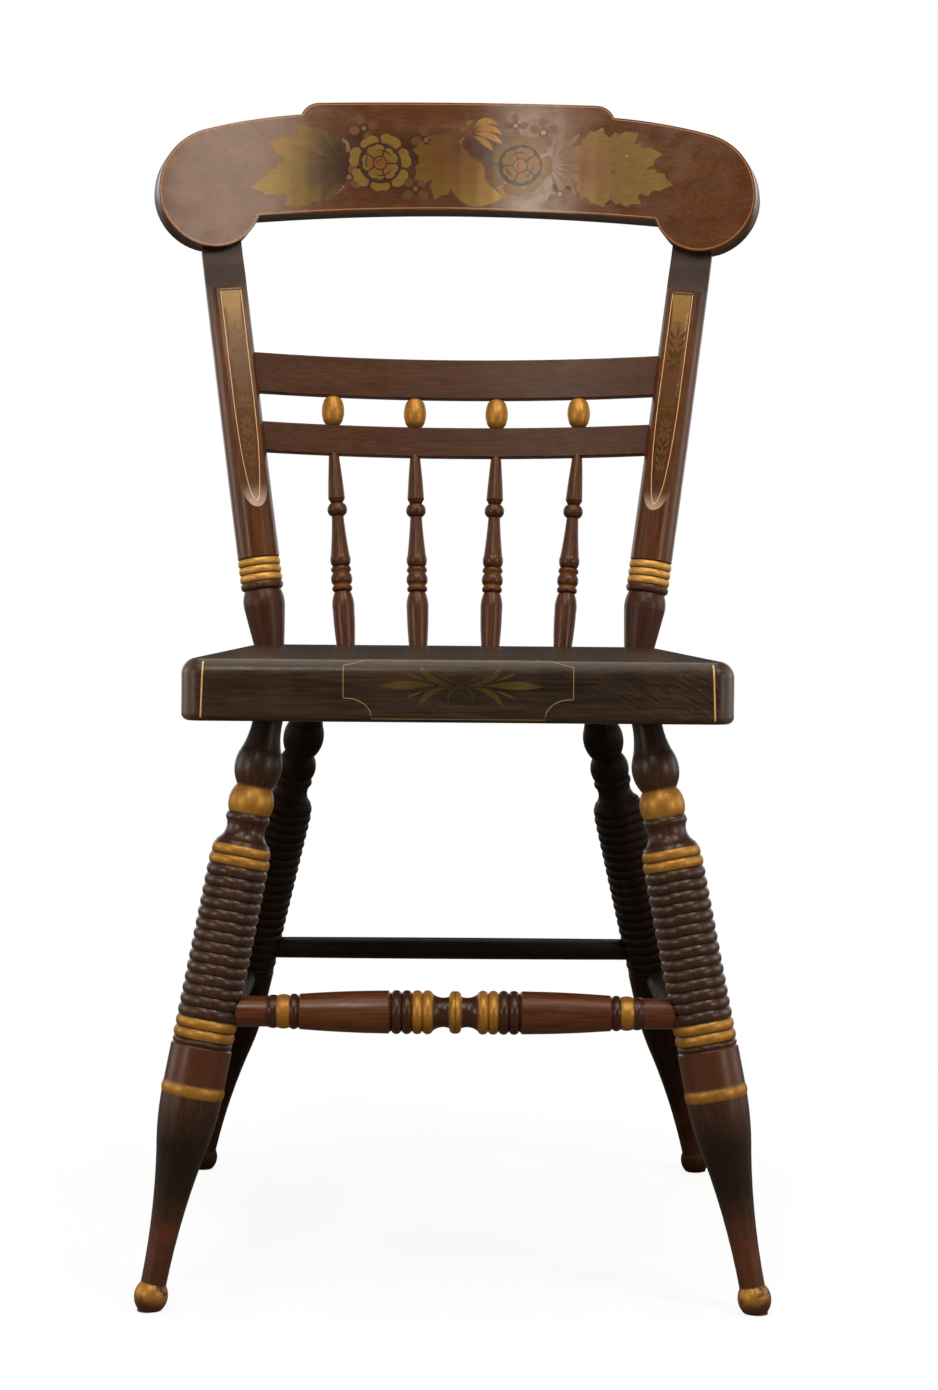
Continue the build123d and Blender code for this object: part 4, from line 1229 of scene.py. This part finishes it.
# %% The leaves of a flat
ROSETTES = ((238, 7.0, 11.5), (180, 6.2, 10.5))
PAIRS = ((261, 6.8, 7.5), (254, 7.0, 7.0), (247, 6.6, 6.5), (214, 4.8, 8.5), (204, 4.8, 8.5),
         (169, 5.4, 6.5), (162, 5.2, 6.5), (155, 4.4, 6.5), (148, 3.4, 6.0))
post_shapes = []
for height, wide, tall in ROSETTES:
    centre = Vector((0, height))
    for number in range(8):
        angle = math.pi / 4 * number
        way = Vector((wide * math.cos(angle), tall * math.sin(angle)))
        post_shapes.append(blade(centre + way * 0.16, centre + way * 0.6, centre + way, 3.3, 1.0))
for height, wide, tall in PAIRS:
    for edge in (1, -1):
        post_shapes.append(blade((edge * 0.9, height - tall / 2), (edge * wide * 0.7, height - 1),
                                 (edge * wide, height + tall / 2), 2.7, 1.0))
for height in (221, 197):
    for edge in (1, -1):
        points = (edge * 0.8, height), (edge * 4, height + 0.6), (edge * 7.0, height)
        post_shapes.append(blade(*points, 2.4, 1.0))
for height in (264, 214, 204, 163, 149):
    post_shapes.append(blade((0, height - 5), (0.3, height), (0, height + 5), 2.2, 1.0))
print("small leaves on each post:", len(post_shapes))

# %% Paint on the posts
# pale paint for the painted highlight on each flat's upper edge
edge_glint_paint = bronze("post_edge_glint_tone", (0, 0, 0), 1000, (0.0, (120, 84, 58)), (1.0, (146, 110, 82)),
                    metal=0.0, strength=1.2)
for side, sign in (("right", 1), ("left", -1)):
    piece, ray = f"back_post_{side}", post_ray(sign)
    lines = [stripe(piece, ray, flat_stripe(edge), 0.65, POWDER) for edge in (1, -1)]
    build(f"post_pinstripes_{side}", lines, yellow)
    # the painted highlight along the flat's upper edge
    edge_glint = stripe(piece, ray, edge_glint_line, 0.6, POWDER)
    build(f"post_edge_glint_{side}", [edge_glint], edge_glint_paint)
    crown = drop(piece, ray(0, 298))[0]
    glow_paint = bronze(
        f"post_patch_bronze_{side}", crown, 122, (0.0, (140, 105, 50)), (0.17, (132, 96, 46)),
        (0.30, (108, 70, 34)), (0.55, (94, 56, 27)), (0.95, (80, 42, 19)),
        metal=0.05, rough=0.28, rays=0.08)
    build(f"post_patch_{side}", [patch(piece, ray, [glow_outline], GLOW)], glow_paint)
    leaf_paint = bronze(
        f"post_leaf_bronze_{side}", crown, 150, (0.0, (78, 54, 22)), (0.45, (80, 56, 23)),
        (0.7, (96, 68, 28)), (1.0, (98, 70, 30)), metal=0.1, strength=0.8)
    leaves = [patch(piece, ray, [shape], POWDER) for shape in post_shapes]
    build(f"post_leaves_{side}", leaves, leaf_paint)

# %% [markdown]
# ## The seat's front
# The front edge has a yellow line at each end and, in the middle, a long framed panel whose
# lower corners are scooped out, with a spray of dull gold leaves in it. The top of the frame
# runs over the rolled edge, so the ray follows the roll's quarter circle there.

# %% Rays onto the seat's front
SEAT_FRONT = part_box("seat")[0][1]
ROLL = 0.011
ROLL_CENTRE = SEAT_TOP / 1000 - ROLL


def seat_ray(across, up):
    """From millimetres across and up the front, where the upper ones go over the roll."""
    angle = max(0.0, up / 1000 - ROLL_CENTRE) / ROLL
    inwards = Vector((0, math.cos(angle), -math.sin(angle)))
    centre = Vector((across / 1000, SEAT_FRONT + ROLL, min(up / 1000, ROLL_CENTRE)))
    return centre - inwards * RAY_START, inwards


print("the seat's front face is at y =", round(SEAT_FRONT, 4))


# %% End lines and panel
def scoop(corner, size, start):
    """A quarter of an ellipse round a corner, from one angle."""
    turns = [start + math.pi / 2 * step / 8 for step in range(9)]
    return [(corner[0] + size[0] * math.cos(turn), corner[1] + size[1] * math.sin(turn))
            for turn in turns]


def dense(points, spacing=2.0):
    """Adds points along the straight parts of a line."""
    full = []
    for a, b in zip(points, points[1:]):
        a, b = Vector(a), Vector(b)
        steps = max(1, int((b - a).length / spacing))
        full += [a.lerp(b, step / steps) for step in range(steps)]
    return full + [Vector(points[-1])]


PANEL_FOOT = 409.5
corner_scoop = scoop((76, PANEL_FOOT), (17, 14), math.pi / 2)
half_panel = [(0, PANEL_FOOT), *reversed(corner_scoop), (78.5, 423.5), (78.5, 446)]
half_panel += [(70, 448.5), (62, 453), (0, 453)]
panel = half_panel + [(-across, up) for across, up in reversed(half_panel)][1:]
lines = []
for edge in (1, -1):
    end_line = dense([(edge * 175.5, PANEL_FOOT), (edge * 174.0, 449.0)])
    lines.append(stripe("seat", seat_ray, end_line, 1.1, LINE))
build("seat_end_lines", lines, yellow)
pale = striping("stripe_pale", (138, 110, 62), (158, 128, 76), 1.2)
build("seat_panel_line", [stripe("seat", seat_ray, dense(panel), 0.6, LINE)], pale)

# %% The spray in the panel
SPRAY_CENTRE = Vector((1.5, 432.5))
SPRAY_BLADES = (  # base, control point, tip and width, to the right of the centre
    ((14, 0), (34, 1), (58, -0.5), 5.6), ((3, -0.4), (9, 0.3), (18, 0), 1.5),
    ((6, 1), (22, 2), (28, 14), 4.2), ((6, -1.5), (23, -2), (29, -15), 4.2),
    ((3, -2), (10, -5), (8, -12), 1.5), ((1, 2), (10, 3), (15, 8), 1.6),
    ((22, 3), (30, 5), (38, 9), 1.6), ((22, -3), (30, -5), (38, -9), 1.6),
)
spray = []
for edge in (1, -1):
    for *points, width in SPRAY_BLADES:
        placed = [SPRAY_CENTRE + Vector((edge * x, y)) for x, y in points]
        spray.append(patch("seat", seat_ray, [blade(*placed, width)], POWDER))
spot = drop("seat", seat_ray(*SPRAY_CENTRE))[0]
dull_gold = bronze("seat_spray_bronze", spot, 60, (0.0, (64, 50, 24)), (0.4, (80, 66, 30)),
                   (0.7, (96, 80, 38)), (1.0, (66, 52, 28)), strength=1.6)
build("seat_spray", spray, dull_gold)

# %% [markdown]
# ## A pale studio
# The chair stands on a plain white floor that runs up to a white surround. In a real studio
# white panels stand beside the chair and the room in front of it is darker. Varnish shows
# that: its sides look pale and its front looks deep. So the surround is white to the eye,
# bright at the sides and dim elsewhere for reflections, and soft for the light that it
# gives. The floor looks white and keeps a weak shadow. For light that bounces it is a
# darker warm grey, so that it doesn't wash out the undersides.

# %% The surround
WHITE = (1.0, 1.0, 1.0, 1.0)
SOFT_LIGHT = (0.42, 0.42, 0.42, 1.0)
SIDES = (0.60, 0.95)
DIM_ROOM, WHITE_PANEL = 0.05, 0.70
world = bpy.data.worlds.new("surround")
bpy.context.scene.world = world
world.use_nodes = True
air = Palette(world.node_tree)
view = air.add("ShaderNodeSeparateXYZ", air.add("ShaderNodeTexCoord").outputs["Generated"])
beside = air.rescale(air.calc("ABSOLUTE", view.outputs[0]), *SIDES, DIM_ROOM, WHITE_PANEL)
ray_kind = air.add("ShaderNodeLightPath")
strength = air.mix(ray_kind.outputs["Is Glossy Ray"], SOFT_LIGHT, beside)
strength = air.mix(ray_kind.outputs["Is Camera Ray"], strength, WHITE)
air.add("ShaderNodeOutputWorld", air.add("ShaderNodeBackground", strength).outputs[0])
print("surround made, with reflections from", DIM_ROOM, "in front to", WHITE_PANEL, "beside")

# %% The floor
HALF_FLOOR = 6.0
FLOOR_DROP = 0.0004
BOUNCE_GREY, PAPER_WHITE = (0.17, 0.14, 0.11, 1.0), (0.88, 0.88, 0.88, 1.0)
SHADOW_NEAR, SHADOW_FAR, SHADOW_WHITE = 0.3, 0.9, 0.86
mesh = bpy.data.meshes.new("floor")
corners = [(-HALF_FLOOR, -HALF_FLOOR, 0), (HALF_FLOOR, -HALF_FLOOR, 0),
           (HALF_FLOOR, HALF_FLOOR, 0), (-HALF_FLOOR, HALF_FLOOR, 0)]
mesh.from_pydata(corners, [], [(0, 1, 2, 3)])
floor = bpy.data.objects.new("floor", mesh)
floor.location.z = -FLOOR_DROP
bpy.context.collection.objects.link(floor)
paper = bpy.data.materials.new("white_paper")
paper.use_nodes = True
ground = Palette(paper.node_tree)
seen = ground.add("ShaderNodeLightPath").outputs["Is Camera Ray"]
matt = ground.add("ShaderNodeBsdfDiffuse", ground.mix(seen, BOUNCE_GREY, PAPER_WHITE))
white = ground.add("ShaderNodeEmission", WHITE, 1.0)
away = ground.length(ground.add("ShaderNodeTexCoord").outputs["Object"])
brightness = ground.rescale(away, SHADOW_NEAR, SHADOW_FAR, SHADOW_WHITE, 1.0)
share = ground.times(seen, brightness)
blend = ground.add("ShaderNodeMixShader", share, matt.outputs[0], white.outputs[0])
ground.add("ShaderNodeOutputMaterial", blend.outputs[0])
mesh.materials.append(paper)
print("floor made,", 2 * HALF_FLOOR, "m wide")

# %% [markdown]
# ## Soft lights
# Thirteen soft boxes stand round the chair, each with one task. A narrow one, high on the
# left, puts the glare on the bent crest, and its partner on the right lights the other lobe.
# A slim one in front lifts the beads, two small ones catch the spoon-shaped tips of the
# posts, and two low ones give the small highlights that run down every turned ring. One
# large box overhead fills the tops, two at the sides draw the outlines, and three behind
# light the back. Together they are weak enough that a colour looks about as it is written.

# %% Soft boxes
AIM_HEIGHT = 0.55
LAMP_WHITE = (1.0, 0.98, 0.95)
SOFT_BOXES = {  # azimuth (0 in front, + to the right), elevation, distance, width, height, watts
    "high_left": (-11.5, 38, 2.6, 0.30, 0.9, 16),
    "front_high": (2, 60, 2.6, 1.2, 0.25, 4),
    "high_right": (37, 44, 2.6, 0.7, 0.9, 15),
    "spoon_left": (-39, 53, 2.6, 0.45, 0.4, 7),
    "spoon_right": (40, 53, 2.6, 0.45, 0.4, 7),
    "low_left": (-48, 5, 2.4, 0.50, 0.8, 9),
    "low_right": (48, 5, 2.4, 0.50, 0.8, 9),
    "side_left": (-98, 6, 2.4, 1.0, 1.0, 7),
    "side_right": (98, 6, 2.4, 1.0, 1.0, 7),
    "overhead": (0, 86, 2.2, 1.6, 1.6, 20),
    "rear_fill": (180, 55, 2.8, 1.6, 1.2, 16),
    "rear_left": (-150, 6, 2.8, 1.4, 1.2, 8),
    "rear_right": (150, 6, 2.8, 1.4, 1.2, 8),
}
for name, (azimuth, elevation, distance, width, height, power) in SOFT_BOXES.items():
    azimuth, elevation = math.radians(azimuth), math.radians(elevation)
    way = Vector((math.sin(azimuth) * math.cos(elevation), -math.cos(azimuth) * math.cos(elevation),
                  math.sin(elevation)))
    lamp = bpy.data.lights.new(name, "AREA")
    lamp.shape = "RECTANGLE"
    lamp.size, lamp.size_y, lamp.energy = width, height, power
    lamp.color = LAMP_WHITE
    holder = bpy.data.objects.new(name, lamp)
    holder.location = Vector((0, 0, AIM_HEIGHT)) + way * distance
    holder.rotation_euler = way.to_track_quat("Z", "Y").to_euler()
    bpy.context.collection.objects.link(holder)
    print(name, [round(value, 2) for value in holder.location], power, "W")

# %% [markdown]
# ## The camera
# The camera stands about two metres in front of the seat, a little above it, and looks very
# slightly down. A long lens keeps the upright lines calm. Its direction is given by three
# small angles, and the lens by its focal length on a 36 mm tall sensor.

# %% Camera
PITCH, YAW, TWIST = 0.042, 0.0132608, 0.00864046
CAMERA_SPOT = Vector((-0.017754, -2.14067, 0.5056))
SENSOR, FOCAL_LENGTH = 36.0, 71.81
forward = Vector((math.sin(YAW), math.cos(YAW), 0))
right = Vector((math.cos(YAW), -math.sin(YAW), 0))
upward = Vector((0, 0, 1))
aim = forward * math.cos(PITCH) - upward * math.sin(PITCH)
top = upward * math.cos(PITCH) + forward * math.sin(PITCH)
side_way = right * math.cos(TWIST) + top * math.sin(TWIST)
top_way = top * math.cos(TWIST) - right * math.sin(TWIST)
lens = bpy.data.cameras.new("camera")
lens.sensor_fit = "VERTICAL"
lens.sensor_height = SENSOR
lens.lens = FOCAL_LENGTH
camera = bpy.data.objects.new("camera", lens)
camera.matrix_world = Matrix((
    *((side_way[axis], top_way[axis], -aim[axis], CAMERA_SPOT[axis]) for axis in range(3)),
    (0, 0, 0, 1),
))
bpy.context.collection.objects.link(camera)
bpy.context.scene.camera = camera
bpy.context.scene.view_settings.view_transform = "Standard"
print("camera at", [round(value, 3) for value in camera.location])
